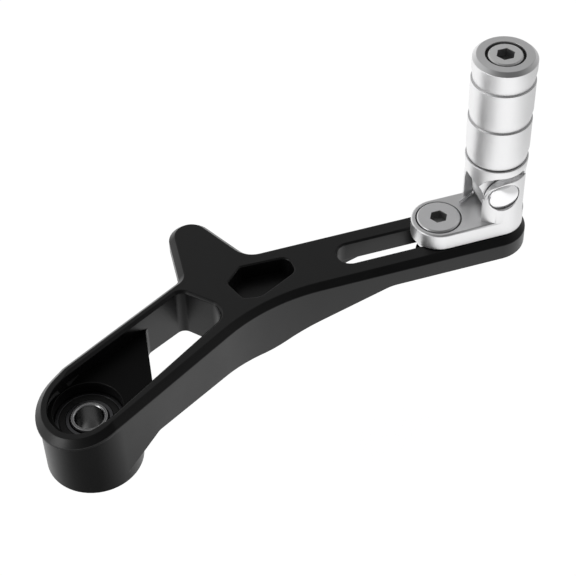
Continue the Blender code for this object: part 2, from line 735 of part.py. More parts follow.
def make_core():
    """Peg core: a tongue between the lugs, a flared neck and a spigot inside the grip"""
    bottom = HINGE_Z - TONGUE_DROP
    collar_top = SLEEVE_FOOT - SEAT_GAP
    spigot_top = PEG_FACE - CAP_HEAD_HEIGHT - SEAT_GAP
    profile = [(0, spigot_top), (SPIGOT_RADIUS, spigot_top), (SPIGOT_RADIUS, collar_top),
               (PEG_RADIUS, collar_top)] + neck_profile() + [(TONGUE_RADIUS, bottom), (0, bottom)]
    core = turned("peg_core", profile, CORE_TURN, PEG_CENTRE)
    boolean(core, fork_cutter("near_fork", BAR_CENTRE - 2 * PEG_RADIUS, BAR_CENTRE - TONGUE_HALF_WIDTH))
    boolean(core, fork_cutter("far_fork", BAR_CENTRE + TONGUE_HALF_WIDTH, BAR_CENTRE + 2 * PEG_RADIUS))
    toe = TONGUE_TOE_RADIUS
    left = HINGE_X - TONGUE_RADIUS
    corner = [(left - WEDGE, bottom - WEDGE, 0), (left + toe, bottom - WEDGE, 0)]
    corner += as_corners(arc((left + toe, bottom + toe), toe, 1.5 * math.pi, math.pi))
    corner += [(left - WEDGE, bottom + toe, 0)]
    boolean(core, side_prism("toe_round", rounded(corner), BAR_CENTRE - PEG_RADIUS, BAR_CENTRE + PEG_RADIUS))
    pocket_floor = BAR_CENTRE + TONGUE_HALF_WIDTH - SPRING_PITCH - SPRING_WIRE
    boolean(core, stepped_hole(
        "core_bore", PIN_RADIUS + RUNNING_GAP, BAR_CENTRE - PEG_RADIUS,
        SPRING_POCKET_RADIUS, pocket_floor, BAR_CENTRE + PEG_RADIUS, (HINGE_X, 0, HINGE_Z), "Y"))
    boolean(core, cylinder("cap_thread", CAP_SHANK_RADIUS + SEAT_GAP, spigot_top - CAP_SHANK_LENGTH,
                           spigot_top + WEDGE, HOLE_TURN, PEG_CENTRE))
    return piece(core, ALLOY_SILVER)


def make_grip():
    """Grip turned with two sawtooth grooves and a tapered foot, bored for the spigot and the cap"""
    bore, seat = SPIGOT_RADIUS + SEAT_GAP, CAP_SEAT_RADIUS
    profile = [(PEG_RADIUS - PEG_TOP_CHAMFER, PEG_FACE), (PEG_RADIUS, PEG_RIM)]
    for crease, ledge in zip(GROOVE_CREASES, GROOVE_LEDGES):
        profile += [(PEG_RADIUS, PEG_RIM - crease), (PEG_RADIUS - GROOVE_DEPTH, PEG_RIM - ledge),
                    (PEG_RADIUS, PEG_RIM - ledge)]
    seat_bottom = PEG_FACE - CAP_HEAD_HEIGHT
    profile += [(PEG_RADIUS, PEG_RIM - FOOT_CREASE), (PEG_RADIUS - GROOVE_DEPTH, SLEEVE_FOOT),
                (bore, SLEEVE_FOOT), (bore, seat_bottom), (seat, seat_bottom), (seat, PEG_FACE)]
    return piece(turned("peg_grip", profile, GRIP_TURN, PEG_CENTRE), ALLOY_SILVER)


def make_cap_screw():
    chamfer = SLEEVE_CHAMFER
    head_bottom = PEG_FACE - CAP_HEAD_HEIGHT + SEAT_GAP
    shank_end = head_bottom - CAP_SHANK_LENGTH
    profile = [
        (0, PEG_FACE), (CAP_RADIUS - chamfer, PEG_FACE), (CAP_RADIUS, PEG_FACE - chamfer),
        (CAP_RADIUS, head_bottom), (CAP_SHANK_RADIUS, head_bottom), (CAP_SHANK_RADIUS, shank_end),
        (0, shank_end),
    ]
    cap = turned("end_cap_screw", profile, PLAIN_TURN, PEG_CENTRE)
    socket = prism("cap_hex", hexagon(CAP_HEX_FLAT, PEG_CENTRE), PEG_FACE - CAP_HEX_DEPTH, PEG_FACE + WEDGE)
    return piece(boolean(cap, socket), STEEL)


def make_cap_ring():
    """Rubber ring in the gap round the cap screw's head"""
    middle = (CAP_RADIUS + CAP_SEAT_RADIUS) / 2
    circle = arc((middle, PEG_FACE - RING_SINK), RING_WIRE, 2 * math.pi, 0)[:-1]
    return piece(turned("cap_ring", [(p.x, p.y) for p in circle], PLAIN_TURN, PEG_CENTRE), RUBBER)


def make_spring():
    """Torsion spring round the pin: a short hook, the coil, and a leg down to the bracket's floor"""
    far_face = BAR_CENTRE + BRACKET_RADIUS - FAR_LUG_THICKNESS
    last_y = far_face - SEAT_GAP - SPRING_WIRE
    coil = []
    for i in range(round(SPRING_TURNS * SPRING_STEPS), -1, -1):
        turn = i / SPRING_STEPS
        angle = math.pi - 2 * math.pi * turn
        coil.append(Vector((HINGE_X + SPRING_RADIUS * math.cos(angle), last_y - SPRING_PITCH * turn,
                            HINGE_Z + SPRING_RADIUS * math.sin(angle))))
    leg_x = HINGE_X - SPRING_RADIUS
    leg_z = BRACKET_TOP + SEAT_GAP + SPRING_WIRE
    bend = SPRING_BEND
    leg = [Vector((leg_x, last_y, HINGE_Z - SPRING_RADIUS / 2)), Vector((leg_x, last_y, leg_z + bend))]
    leg += [Vector((leg_x - bend + bend * math.cos(a), last_y, leg_z + bend - bend * math.sin(a)))
            for a in (math.pi / 6, math.pi / 3, math.pi / 2)]
    leg += [Vector((SPRING_LEG_END, last_y - SPRING_LEG_SKEW, leg_z))]
    return piece(solid_from_curve("torsion_spring", coil + leg, SPRING_WIRE), STEEL)


clear_scene()
parts = new_collection("gear shift lever")
cutters = new_collection("cutters")
make_arm()
for place, (low, high) in zip(("lower", "upper"), bearing_heights()):
    make_bearing(place, low, high)
make_sleeve()
make_bracket()
make_clamp_screw()
make_clamp_nut()
make_hinge_pin()
make_spring()
make_core()
make_grip()
make_cap_screw()
make_cap_ring()
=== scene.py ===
"""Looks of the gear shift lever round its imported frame: finishes, softened edges, studio and camera.

Metres, in the frame's own axes: the pivot is on Z, the adjustment slot and the bracket lie along X.
The arm, the knuckle, the grip and the clamp are built here more exactly than in the solids, in a
workshop collection that is removed at the end. The other pieces are softened copies of the solids,
and the bearings' balls are rounder spheres.
"""
import json
import math

import bmesh
import bpy
from mathutils import Matrix, Vector

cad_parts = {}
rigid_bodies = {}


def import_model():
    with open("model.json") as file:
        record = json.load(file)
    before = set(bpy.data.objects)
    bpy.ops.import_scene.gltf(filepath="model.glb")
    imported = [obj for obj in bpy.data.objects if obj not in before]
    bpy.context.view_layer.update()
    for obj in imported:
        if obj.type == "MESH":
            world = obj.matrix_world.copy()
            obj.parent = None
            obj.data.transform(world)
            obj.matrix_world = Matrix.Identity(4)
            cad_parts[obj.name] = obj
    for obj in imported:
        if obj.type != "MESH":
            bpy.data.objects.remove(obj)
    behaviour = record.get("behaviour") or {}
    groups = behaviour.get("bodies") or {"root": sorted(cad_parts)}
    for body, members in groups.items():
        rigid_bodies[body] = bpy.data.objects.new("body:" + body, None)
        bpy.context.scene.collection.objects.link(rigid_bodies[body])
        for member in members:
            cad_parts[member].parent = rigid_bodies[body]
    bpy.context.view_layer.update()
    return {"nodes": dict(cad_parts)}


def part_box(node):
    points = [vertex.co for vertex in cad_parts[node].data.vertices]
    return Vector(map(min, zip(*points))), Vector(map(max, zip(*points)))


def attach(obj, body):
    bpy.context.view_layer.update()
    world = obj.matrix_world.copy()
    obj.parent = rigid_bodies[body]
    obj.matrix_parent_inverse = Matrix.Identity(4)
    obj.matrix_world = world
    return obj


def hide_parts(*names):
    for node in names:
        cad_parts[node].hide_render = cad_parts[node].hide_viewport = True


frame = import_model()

# Where the photograph was taken from, and its angle of view
CAMERA_PLACE = Vector((-0.02720, -0.31006, 0.38145))
CAMERA_PITCH = math.radians(45.56)
CAMERA_ROLL = math.radians(2.03)
CAMERA_HEADING = math.radians(-16.32)
CAMERA_LENS = 98.48
CAMERA_SENSOR = 36

# Studio walls: a direction, then where the light starts and ends to change along it, and its levels
UP = (0, 0, 1)
UP_CHANGE = (0.0, 0.6, 0.85, 0.42)
BEHIND_CAMERA = (-0.19, -0.66, 0.73)
BEHIND_CHANGE = (0.45, 0.9, 1.0, 0.22)
RIGHT = (1, -0.1, 0)
RIGHT_CHANGE = (0.1, 0.6, 1.0, 0.6)

# Floor, with the same four numbers for its reflection round DIM_PLACE, where a painted shadow of the boss
# dims it, and along X
FLOOR_LEVEL = -0.045
FLOOR_HALF = 4.0
FLOOR_COLOUR = 0.36
FLOOR_ROUGHNESS = 0.9
FLOOR_GLOW = 0.91
DIM_PLACE = (-0.030, -0.058, FLOOR_LEVEL)
DIM_CHANGE = (0.025, 0.115, 0.04, 1.10)
ALONG_X = (1, 0, 0)
ALONG_X_CHANGE = (0.200, 0.300, 1.0, 0.58)

# Lamp on the left
LAMP_PLACE = (-0.7, -0.1, 0.25)
LAMP_TARGET = (0.0, 0, 0.02)
LAMP_SIZE = (0.25, 0.25)
LAMP_POWER = 0.9

# Finishes
NOISE_MIDDLE = (0.3, 0.7)
BLASTED_DRIFT = 55
BLASTED_GRAIN = 5200
TINT_PER_VARIATION = 1.2
WAVE_SCALE = 2 * math.pi / 20
RING_DISTORTION = 0.4
RING_PITCH = 0.00012
RING_DEPTH = 0.000003
LATHED_DRIFT = 400
LATHED_VARIATION = 0.15
METAL_BUMP = 0.000002
RUBBER_SHADE = 0.012
RUBBER_GRAIN = 3000
RUBBER_BUMP = 0.00001
RUBBER_ROUGHNESS = 0.6
RUBBER_VARIATION = 0.1

# Edges
WELD = 0.000004
TURN_WELD = 0.000001
CUT_TOLERANCE = 0.0000001
FLAT_ANGLE = math.radians(0.4)
EDGE_ANGLE = math.radians(27)
SHARP_ANGLE = math.radians(50)
EDGE_SEGMENTS = 2
BORE_MOUTH_REACH = 0.0112

# Width of the softened edges, by piece
ARM_EDGE = 0.00022
BRACKET_EDGE = 0.00025
CORE_EDGE = 0.00025
GRIP_EDGE = 0.00012
SCREW_EDGE = 0.00010
PIN_EDGE = 0.00010
NUT_EDGE = 0.00020
SLEEVE_EDGE = 0.00008
OUTER_RING_EDGE = 0.00020
INNER_RING_EDGE = 0.00012
SEAL_EDGE = 0.00008
UNSOFTENED = 0

# Faces with painted shade lie within these distances of a piece's axis, or face up
SOCKET_REACH = 0.00295
BORE_REACH = 0.004484
FACING_UP = 0.9

# Balls of one bearing
BALLS = 11
BALL_SUBDIVISIONS = 3

# Clearances and the flatness of round stretches
SEAT_GAP = 0.0003
RUNNING_GAP = 0.00015
BEARING_GAP = 0.0001
ARC_SAGITTA = 0.00002
WEDGE = 0.002

# Segments of turned shapes, by size
FINE_TURN = 128
MEDIUM_TURN = 96
COARSE_TURN = 80

# Pivot boss, with a lip that stands out all round its outer side
BOSS_RADIUS = 0.015
ARM_TOP = 0.0274
BOSS_FLOOR = 0.0215
BORE_LAND_RADIUS = 0.0092
BORE_MOUTH_CHAMFER = 0.0002
RIM_FALL_BEARING = math.radians(199)
RIM_FALL_START = -0.0010
RIM_FALL_SLOPE = 0.28
EDGE_CHAMFER = 0.002
LIP_SHIFT = Vector((-0.00095, -0.00055))
LIP_HEIGHT = 0.0008
LIP_UNDERCUT = 0.0006

# Plan of the arm
WEB_FRONT_ANGLE = math.radians(31.16)
WEB_BACK_ANGLE = math.radians(29.09)
BAR_CENTRE = 0.03165
BAR_HALF_WIDTH = 0.0113
BAR_END = 0.1428
WAIST_RADIUS = 0.063
EAR_LEFT_FOOT = (0.0392, 0.0420)
EAR_LEAN = 0.085
EAR_RIGHT_POINT = (0.0600, 0.0485)
EAR_SLOPE = 1.92
EAR_TIP_RADIUS = 0.0072
EAR_FOOT_RADIUS = 0.003
EAR_HEEL_RADIUS = 0.006
EAR_THICKNESS = 0.0065
EAR_STEP_Y = 0.0432
EAR_REACH = 0.080

# Side view of the arm's underside; corners that are filleted end with their radius
HEEL_START = (0.0075, 0.0033)
HEEL_TOP = (0.0199, 0.0101, 0.002)
WEB_DIP = (0.0470, 0.0087, 0.030)
KNEE = (0.0640, 0.0062, 0.020)
BAR_THICKNESS = 0.0079
BAR_START = 0.1043
BAR_FILLET = 0.012

# Through pocket between the boss and the middle
POCKET_RADIUS = 0.01095
POCKET_SHIFT = Vector((-0.0012, -0.0007))
POCKET_CHAMFER = 0.0008
POCKET_FRONT_ANGLE = math.radians(33.5)
POCKET_END_POINT = (0.0399, 0.0314)
POCKET_END_SLOPE = -1.059
POCKET_BACK_RADIUS = 0.003
POCKET_TIP_RADIUS = 0.0055
WINDOW_START = 0.0213
WINDOW_START_Y = 0.0060
WINDOW_SLANT = 0.147
WINDOW_CORNER = 0.0030

# Blind pocket in the middle
RECESS_DEPTH = 0.006
RECESS_CHAMFER = 0.0004
RECESS_OUTLINE = (
    (0.0588, 0.0372, 0.0012),
    (0.0746, 0.0366, 0.0030),
    (0.0750, 0.0298, 0.0030),
    (0.0612, 0.0226, 0.0060),
    (0.0558, 0.0238, 0.0020),
    (0.0530, 0.0316, 0.0012),
)

# Adjustment slot and the nut's track under it
SLOT_HALF_WIDTH = 0.0044
SLOT_START = 0.0898
SLOT_END = 0.1440
SLOT_CHAMFER = 0.0005
TRACK_HALF_WIDTH = 0.0066
TRACK_DEPTH = 0.0006

# Seats of the bearings
BEARING_OUTER_RADIUS = 0.0105
BEARING_WIDTH = 0.005
BEARING_SINK = 0.0006
BEARING_FACE = 0.0174

# Bracket that carries the peg
PLATE_START_X = 0.1242
BRACKET_END_X = 0.1441
BRACKET_RADIUS = 0.0089
BRACKET_TOP = 0.0337
BRACKET_CHAMFER = 0.0005
KEY_DEPTH = 0.0035
NEAR_LUG_LEFT = 0.0061
NEAR_CROWN_RADIUS = 0.0070
FAR_LUG_LEFT = 0.0072
FAR_CROWN_RADIUS = 0.0080
FAR_LUG_CORNER = 0.0010
LUG_TOP = 0.0061
NEAR_LUG_THICKNESS = 0.0030
FAR_LUG_THICKNESS = 0.0021

# Clamp screw and its nut
SCREW_X = 0.1242
DISC_RADIUS = 0.00705
DISC_TOP = 0.0341
DISC_THICKNESS = 0.0040
DISC_GAP = 0.0004
SCREW_RADIUS = 0.003
SCREW_CHAMFER = 0.0004
CLAMP_HEX_FLAT = 0.005
CLAMP_HEX_DEPTH = 0.0028
NUT_LENGTH = 0.014
NUT_THICKNESS = 0.0042

# Hinge of the peg
HINGE_X = 0.1428
HINGE_Z = 0.0440
PIN_RADIUS = 0.0025
PIN_HEAD_RADIUS = 0.0049
PIN_HEAD_SINK = 0.0022
PIN_RIM_DEPTH = 0.0009
PIN_DOME = 0.0013
PIN_DOME_STEPS = 14
PIN_TAIL_SINK = 0.0006
TONGUE_NEAR = 0.0056
TONGUE_FAR = 0.0047
TONGUE_FLAT = 0.0054
FLARE_START = -0.0045
FLARE_RADIUS = 0.0165
TONGUE_RADIUS = 0.0095
TONGUE_DROP = 0.0079
TONGUE_TOE_RADIUS = 0.0035
FORK_CEILING = 0.0090
FORK_LEFT = 0.0078
FORK_CORNER_RADIUS = 0.0055
NECK_START = 0.0020
NECK_STEPS = 12
COLLAR_START = 0.0107

# Torsion spring
SPRING_WIRE = 0.00055
SPRING_ROUNDNESS = 4
SPRING_RADIUS = 0.0038
SPRING_TURNS = 1.75
SPRING_STEPS = 32
SPRING_PITCH = 0.0013
SPRING_POCKET_RADIUS = 0.0047
SPRING_BEND = 0.00165
SPRING_LEG_END = 0.1330
SPRING_LEG_SKEW = 0.0026

# Toe peg
PEG_RADIUS = 0.010
PEG_RIM = 0.0931
PEG_TOP_CHAMFER = 0.0012
GRIP_FOOT = 0.0563
GROOVE_DEPTH = 0.0006
GROOVE_CREASES = (0.0033, 0.0180)
GROOVE_LEDGES = (0.0075, 0.0220)
FOOT_CREASE = 0.0328
SPIGOT_RADIUS = 0.0052
CAP_HEAD_HEIGHT = 0.0045
CAP_SEAT_RADIUS = 0.0062
CAP_SHANK_RADIUS = 0.0025
CAP_SHANK_LENGTH = 0.016

# Heights and the axis that follow from the sizes
BRACKET_FLOOR = ARM_TOP + SEAT_GAP
PEG_FACE = PEG_RIM + PEG_TOP_CHAMFER
PEG_CENTRE = Vector((HINGE_X, BAR_CENTRE, 0))


def boolean(target, tool, operation="DIFFERENCE"):
    """Cuts the tool out of the target, or joins it on, and returns the target"""
    step = target.modifiers.new(tool.name, "BOOLEAN")
    step.operation = operation
    step.solver = "EXACT"
    step.object = tool
    return target


def mesh_object(name, bm):
    bmesh.ops.recalc_face_normals(bm, faces=bm.faces)
    mesh = bpy.data.meshes.new(name)
    bm.to_mesh(mesh)
    bm.free()
    obj = bpy.data.objects.new(name, mesh)
    workshop.objects.link(obj)
    return obj


def arc(centre, radius, start, end):
    """Points along an arc, close enough together to stay within ARC_SAGITTA of it"""
    widest = 2 * math.acos(1 - ARC_SAGITTA / radius)
    count = max(2, math.ceil(abs(end - start) / widest))
    angles = (start + (end - start) * i / count for i in range(count + 1))
    return [Vector((centre[0] + radius * math.cos(a), centre[1] + radius * math.sin(a))) for a in angles]


def rounded(corners):
    """Closed outline through corners given as (x, y, radius), with each corner filleted"""
    points = []
    for i, (x, y, radius) in enumerate(corners):
        corner = Vector((x, y))
        before = (Vector(corners[i - 1][:2]) - corner).normalized()
        after = (Vector(corners[(i + 1) % len(corners)][:2]) - corner).normalized()
        if radius <= 0:
            points.append(corner)
            continue
        half = before.angle(after) / 2
        centre = corner + (before + after).normalized() * radius / math.sin(half)
        first = corner + before * radius / math.tan(half) - centre
        last = corner + after * radius / math.tan(half) - centre
        start = math.atan2(first.y, first.x)
        turn = math.atan2(first.cross(last), first.dot(last))
        points += arc(centre, radius, start, start + turn)
    return points


def as_corners(points):
    return [(p.x, p.y, 0) for p in points]


def inset(outline, distance):
    """Moves each point of an anticlockwise outline inwards, or outwards if negative"""
    moved = []
    for i, point in enumerate(outline):
        before = (point - outline[i - 1]).normalized()
        after = (outline[(i + 1) % len(outline)] - point).normalized()
        normal = Vector((-before.y - after.y, before.x + after.x)).normalized()
        cosine = normal.dot(Vector((-before.y, before.x)))
        moved.append(point + normal * distance / cosine)
    return moved


def loft(name, sections):
    """Closed solid through outlines of equal length, each given as (outline, height)"""
    bm = bmesh.new()
    rings = [[bm.verts.new((p.x, p.y, z)) for p in outline] for outline, z in sections]
    for low, high in zip(rings, rings[1:]):
        for i in range(len(low)):
            j = (i + 1) % len(low)
            bm.faces.new((low[i], low[j], high[j], high[i]))
    bm.faces.new(rings[0][::-1])
    bm.faces.new(rings[-1])
    return mesh_object(name, bm)


def prism(name, outline, bottom, top):
    return loft(name, [(outline, bottom), (outline, top)])


def side_prism(name, profile, near, far):
    """Prism whose outline is drawn in X and Z and runs along Y from near to far"""
    obj = prism(name, profile, -far, -near)
    for vertex in obj.data.vertices:
        x, z, depth = vertex.co
        vertex.co = (x, -depth, z)
    return obj


def box(name, low, high):
    corners = [Vector((low[0], low[1])), Vector((high[0], low[1])),
               Vector((high[0], high[1])), Vector((low[0], high[1]))]
    return prism(name, corners, low[2], high[2])


def stadium(left, right, middle, radius):
    quarter = math.pi / 2
    return (arc((right, middle), radius, -quarter, quarter)
            + arc((left, middle), radius, quarter, 3 * quarter))


def turned(name, profile, segments, centre=(0, 0, 0), axis="Z"):
    """Turns a profile of (radius, height), listed down its outer side, with a Screw modifier"""
    mesh = bpy.data.meshes.new(name)
    verts = [(r, 0, z) for r, z in profile]
    edges = [(i, i + 1) for i in range(len(verts) - 1)]
    if profile[0][0] > 0:
        edges.append((len(verts) - 1, 0))
    mesh.from_pydata(verts, edges, [])
    obj = bpy.data.objects.new(name, mesh)
    workshop.objects.link(obj)
    obj.location = centre
    if axis == "Y":
        obj.rotation_euler = (-math.pi / 2, 0, 0)
    screw = obj.modifiers.new("turn", "SCREW")
    screw.steps = segments
    screw.render_steps = segments
    screw.use_merge_vertices = True
    screw.merge_threshold = TURN_WELD
    return obj


def cylinder(name, radius, bottom, top, centre):
    return turned(name, [(0, top), (radius, top), (radius, bottom), (0, bottom)], COARSE_TURN, centre)


def stepped_hole(name, narrow, narrow_end, wide, step, wide_end, centre, axis="Z"):
    """Cutter for a hole that widens at a step, listed down from its higher end"""
    profile = [(0, wide_end), (wide, wide_end), (wide, step),
               (narrow, step), (narrow, narrow_end), (0, narrow_end)]
    if wide_end < narrow_end:
        profile.reverse()
    return turned(name, profile, COARSE_TURN, centre, axis)


def hexagon(flat, centre):
    corner = flat / 2 / math.cos(math.pi / 6)
    angles = (math.pi / 3 * i for i in range(6))
    return [Vector((centre[0] + corner * math.cos(a), centre[1] + corner * math.sin(a))) for a in angles]


def solid_from_curve(name, points, wire):
    """Tube of round wire through the points, with its caps welded on"""
    curve = bpy.data.curves.new(name, "CURVE")
    curve.dimensions = "3D"
    curve.bevel_depth = wire
    curve.bevel_resolution = SPRING_ROUNDNESS
    curve.use_fill_caps = True
    spline = curve.splines.new("POLY")
    spline.points.add(len(points) - 1)
    for target, point in zip(spline.points, points):
        target.co = (*point, 1)
    source = bpy.data.objects.new(name + "_curve", curve)
    workshop.objects.link(source)
    evaluated = source.evaluated_get(bpy.context.evaluated_depsgraph_get())
    mesh = bpy.data.meshes.new_from_object(evaluated)
    bm = bmesh.new()
    bm.from_mesh(mesh)
    bmesh.ops.remove_doubles(bm, verts=bm.verts, dist=TURN_WELD)
    obj = mesh_object(name, bm)
    obj.matrix_world = source.matrix_world
    bpy.data.objects.remove(source)
    return obj


def boss_arcs():
    """The boss's circle in two stretches: the free outer one, then the one inside the arm"""
    front = WEB_FRONT_ANGLE - math.pi / 2
    back = WEB_BACK_ANGLE + math.pi / 2
    outer = arc((0, 0), BOSS_RADIUS, back, front + 2 * math.pi)
    inner = arc((0, 0), BOSS_RADIUS, front, back)
    return outer, inner


def back_line(offset, x):
    """Height in plan of a line along the web's back, at an offset from the pivot"""
    return x * math.tan(WEB_BACK_ANGLE) + offset / math.cos(WEB_BACK_ANGLE)


def ear_left(y):
    return EAR_LEFT_FOOT[0] + EAR_LEAN * (y - EAR_LEFT_FOOT[1])


def ear_right(y):
    return EAR_RIGHT_POINT[0] - (y - EAR_RIGHT_POINT[1]) / EAR_SLOPE


def arm_outlines():
    """Anticlockwise plans of the arm's walls, web to boss, under the boss's lip and at it"""
    bar_front = BAR_CENTRE - BAR_HALF_WIDTH
    bar_back = BAR_CENTRE + BAR_HALF_WIDTH
    waist_x = (bar_front + BOSS_RADIUS / math.cos(WEB_FRONT_ANGLE)) / math.tan(WEB_FRONT_ANGLE)
    notch_y = back_line(BOSS_RADIUS, EAR_LEFT_FOOT[0])
    tip_y = ((EAR_RIGHT_POINT[0] + EAR_RIGHT_POINT[1] / EAR_SLOPE - EAR_LEFT_FOOT[0]
              + EAR_LEAN * EAR_LEFT_FOOT[1]) / (EAR_LEAN + 1 / EAR_SLOPE))
    outer, inner = boss_arcs()
    front, back = inner[0], inner[-1]
    corners = [
        (front.x, front.y, 0),
        (waist_x, bar_front, WAIST_RADIUS),
        *as_corners(arc((BAR_END, BAR_CENTRE), BAR_HALF_WIDTH, -math.pi / 2, math.pi / 2)),
        (ear_right(bar_back), bar_back, EAR_HEEL_RADIUS),
        (ear_left(tip_y), tip_y, EAR_TIP_RADIUS),
        (ear_left(notch_y), notch_y, EAR_FOOT_RADIUS),
        (back.x, back.y, 0),
    ]
    walls = rounded(corners)[1:-1]
    return walls + outer, walls + [point + LIP_SHIFT for point in outer]


def lower_boss_end(arm):
    """Lets the arm's top fall away in a flat slope over the outer side of the boss"""
    direction = Vector((math.cos(RIM_FALL_BEARING), math.sin(RIM_FALL_BEARING), 0))
    bm = bmesh.new()
    bm.from_mesh(arm.data)
    everything = list(bm.verts) + list(bm.edges) + list(bm.faces)
    bmesh.ops.bisect_plane(bm, geom=everything, dist=CUT_TOLERANCE,
                           plane_co=direction * RIM_FALL_START, plane_no=direction)
    for vertex in bm.verts:
        beyond = vertex.co.dot(direction) - RIM_FALL_START
        if beyond > 0 and vertex.co.z > ARM_TOP / 2:
            vertex.co.z -= RIM_FALL_SLOPE * beyond
    bm.to_mesh(arm.data)
    bm.free()


def underside_cutter():
    """Everything under the arm: a side profile with the boss's cylinder left out of it"""
    left, right = -2 * BOSS_RADIUS, BAR_END + 2 * BAR_HALF_WIDTH
    bar_under = ARM_TOP - BAR_THICKNESS
    corners = [
        (left, -WEDGE, 0),
        (right, -WEDGE, 0),
        (right, bar_under, 0),
        (BAR_START, bar_under, BAR_FILLET),
        KNEE,
        WEB_DIP,
        HEEL_TOP,
        (*HEEL_START, 0),
        (left, HEEL_START[1], 0),
    ]
    cutter = side_prism("underside", rounded(corners), -4 * BOSS_RADIUS, 6 * BOSS_RADIUS)
    outer, inner = boss_arcs()
    boss = prism("underside_boss", outer[1:-1] + inner, -2 * WEDGE, ARM_TOP)
    return boolean(cutter, boss)


def ear_cutter():
    low, high = EAR_LEFT_FOOT[0] - BOSS_RADIUS, EAR_RIGHT_POINT[0] + BOSS_RADIUS
    return box("ear_underside", (low, EAR_STEP_Y, -WEDGE), (high, EAR_REACH, ARM_TOP - EAR_THICKNESS))


def pocket_outline():
    """Plan of the long pocket: round at the boss, with a slanted end at the middle"""
    front = POCKET_FRONT_ANGLE
    front_start = (POCKET_RADIUS * math.sin(front), -POCKET_RADIUS * math.cos(front))
    back_start = (-POCKET_RADIUS * math.sin(WEB_BACK_ANGLE), POCKET_RADIUS * math.cos(WEB_BACK_ANGLE))
    end_at_zero = POCKET_END_POINT[1] - POCKET_END_SLOPE * POCKET_END_POINT[0]
    tip_x = ((end_at_zero + POCKET_RADIUS / math.cos(front)) / (math.tan(front) - POCKET_END_SLOPE))
    back_x = ((end_at_zero - POCKET_RADIUS / math.cos(WEB_BACK_ANGLE))
              / (math.tan(WEB_BACK_ANGLE) - POCKET_END_SLOPE))
    corners = [
        (*front_start, 0),
        (tip_x, end_at_zero + POCKET_END_SLOPE * tip_x, POCKET_TIP_RADIUS),
        (back_x, end_at_zero + POCKET_END_SLOPE * back_x, POCKET_BACK_RADIUS),
        (*back_start, 0),
    ]
    around = arc(POCKET_SHIFT, POCKET_RADIUS, WEB_BACK_ANGLE + math.pi / 2, front + 1.5 * math.pi)
    return rounded(corners)[1:-1] + around


def chamfered_cutter(name, outline, bottom, chamfer):
    """Cutter for a pocket whose mouth in the arm's top has a chamfer"""
    return loft(name, [
        (outline, bottom),
        (outline, ARM_TOP - chamfer),
        (inset(outline, -chamfer - WEDGE), ARM_TOP + WEDGE),
    ])


def long_pocket_cutter():
    """Pocket with a floor at the boss and a window right through the rest, slanted at its left end"""
    cutter = chamfered_cutter("long_pocket", pocket_outline(), -WEDGE, POCKET_CHAMFER)
    foot = WINDOW_START - WINDOW_SLANT * WINDOW_START_Y
    wall = (POCKET_RADIUS + ARC_SAGITTA) / math.cos(WEB_BACK_ANGLE)
    top_y = (foot * math.tan(WEB_BACK_ANGLE) + wall) / (1 - WINDOW_SLANT * math.tan(WEB_BACK_ANGLE))
    top_x = foot + WINDOW_SLANT * top_y
    far_x = top_x + BOSS_RADIUS
    low_y = -2 * BOSS_RADIUS
    corners = [
        (-2 * BOSS_RADIUS, low_y, 0),
        (foot + WINDOW_SLANT * low_y, low_y, 0),
        (top_x, top_y, WINDOW_CORNER),
        (far_x, top_y + (far_x - top_x) * math.tan(WEB_BACK_ANGLE), 0),
        (far_x, 4 * BOSS_RADIUS, 0),
        (-2 * BOSS_RADIUS, 4 * BOSS_RADIUS, 0),
    ]
    return boolean(cutter, prism("boss_floor", rounded(corners), -2 * WEDGE, BOSS_FLOOR))


def slot_cutter():
    """The adjustment slot, chamfered at its mouth, over the wider track of the clamp nut"""
    slot = stadium(SLOT_START + SLOT_HALF_WIDTH, SLOT_END, BAR_CENTRE, SLOT_HALF_WIDTH)
    track = inset(slot, SLOT_HALF_WIDTH - TRACK_HALF_WIDTH)
    track_roof = ARM_TOP - BAR_THICKNESS + TRACK_DEPTH
    return loft("slot", [
        (track, -WEDGE),
        (track, track_roof),
        (slot, track_roof),
        (slot, ARM_TOP - SLOT_CHAMFER),
        (inset(slot, -SLOT_CHAMFER - WEDGE), ARM_TOP + WEDGE),
    ])


def bearing_heights():
    """Lower and upper bearing, each as (bottom, top)"""
    return ((BEARING_SINK, BEARING_SINK + BEARING_WIDTH), (BEARING_FACE - BEARING_WIDTH, BEARING_FACE))


def bearing_seats():
    """The bore through the boss: a seat for a bearing at each end and a land between them"""
    seat = BEARING_OUTER_RADIUS + BEARING_GAP
    low_top, high_bottom = bearing_heights()[0][1] + BEARING_GAP, bearing_heights()[1][0] - BEARING_GAP
    mouth = BORE_MOUTH_CHAMFER
    profile = [
        (0, BOSS_FLOOR + WEDGE), (seat + mouth + WEDGE, BOSS_FLOOR + WEDGE), (seat, BOSS_FLOOR - mouth),
        (seat, high_bottom), (BORE_LAND_RADIUS, high_bottom), (BORE_LAND_RADIUS, low_top),
        (seat, low_top), (seat, -WEDGE), (0, -WEDGE),
    ]
    return turned("bearing_seats", profile, MEDIUM_TURN)


def make_arm():
    outline, lipped = arm_outlines()
    lip_bottom = ARM_TOP - EDGE_CHAMFER - LIP_HEIGHT
    arm = loft("lever_arm", [
        (outline, 0),
        (outline, lip_bottom - LIP_UNDERCUT),
        (lipped, lip_bottom),
        (lipped, ARM_TOP - EDGE_CHAMFER),
        (inset(lipped, EDGE_CHAMFER), ARM_TOP),
    ])
    lower_boss_end(arm)
    boolean(arm, slot_cutter())
    boolean(arm, underside_cutter())
    boolean(arm, ear_cutter())
    boolean(arm, long_pocket_cutter())
    recess = rounded(RECESS_OUTLINE[::-1])
    boolean(arm, chamfered_cutter("recess", recess, ARM_TOP - RECESS_DEPTH, RECESS_CHAMFER))
    return boolean(arm, bearing_seats())


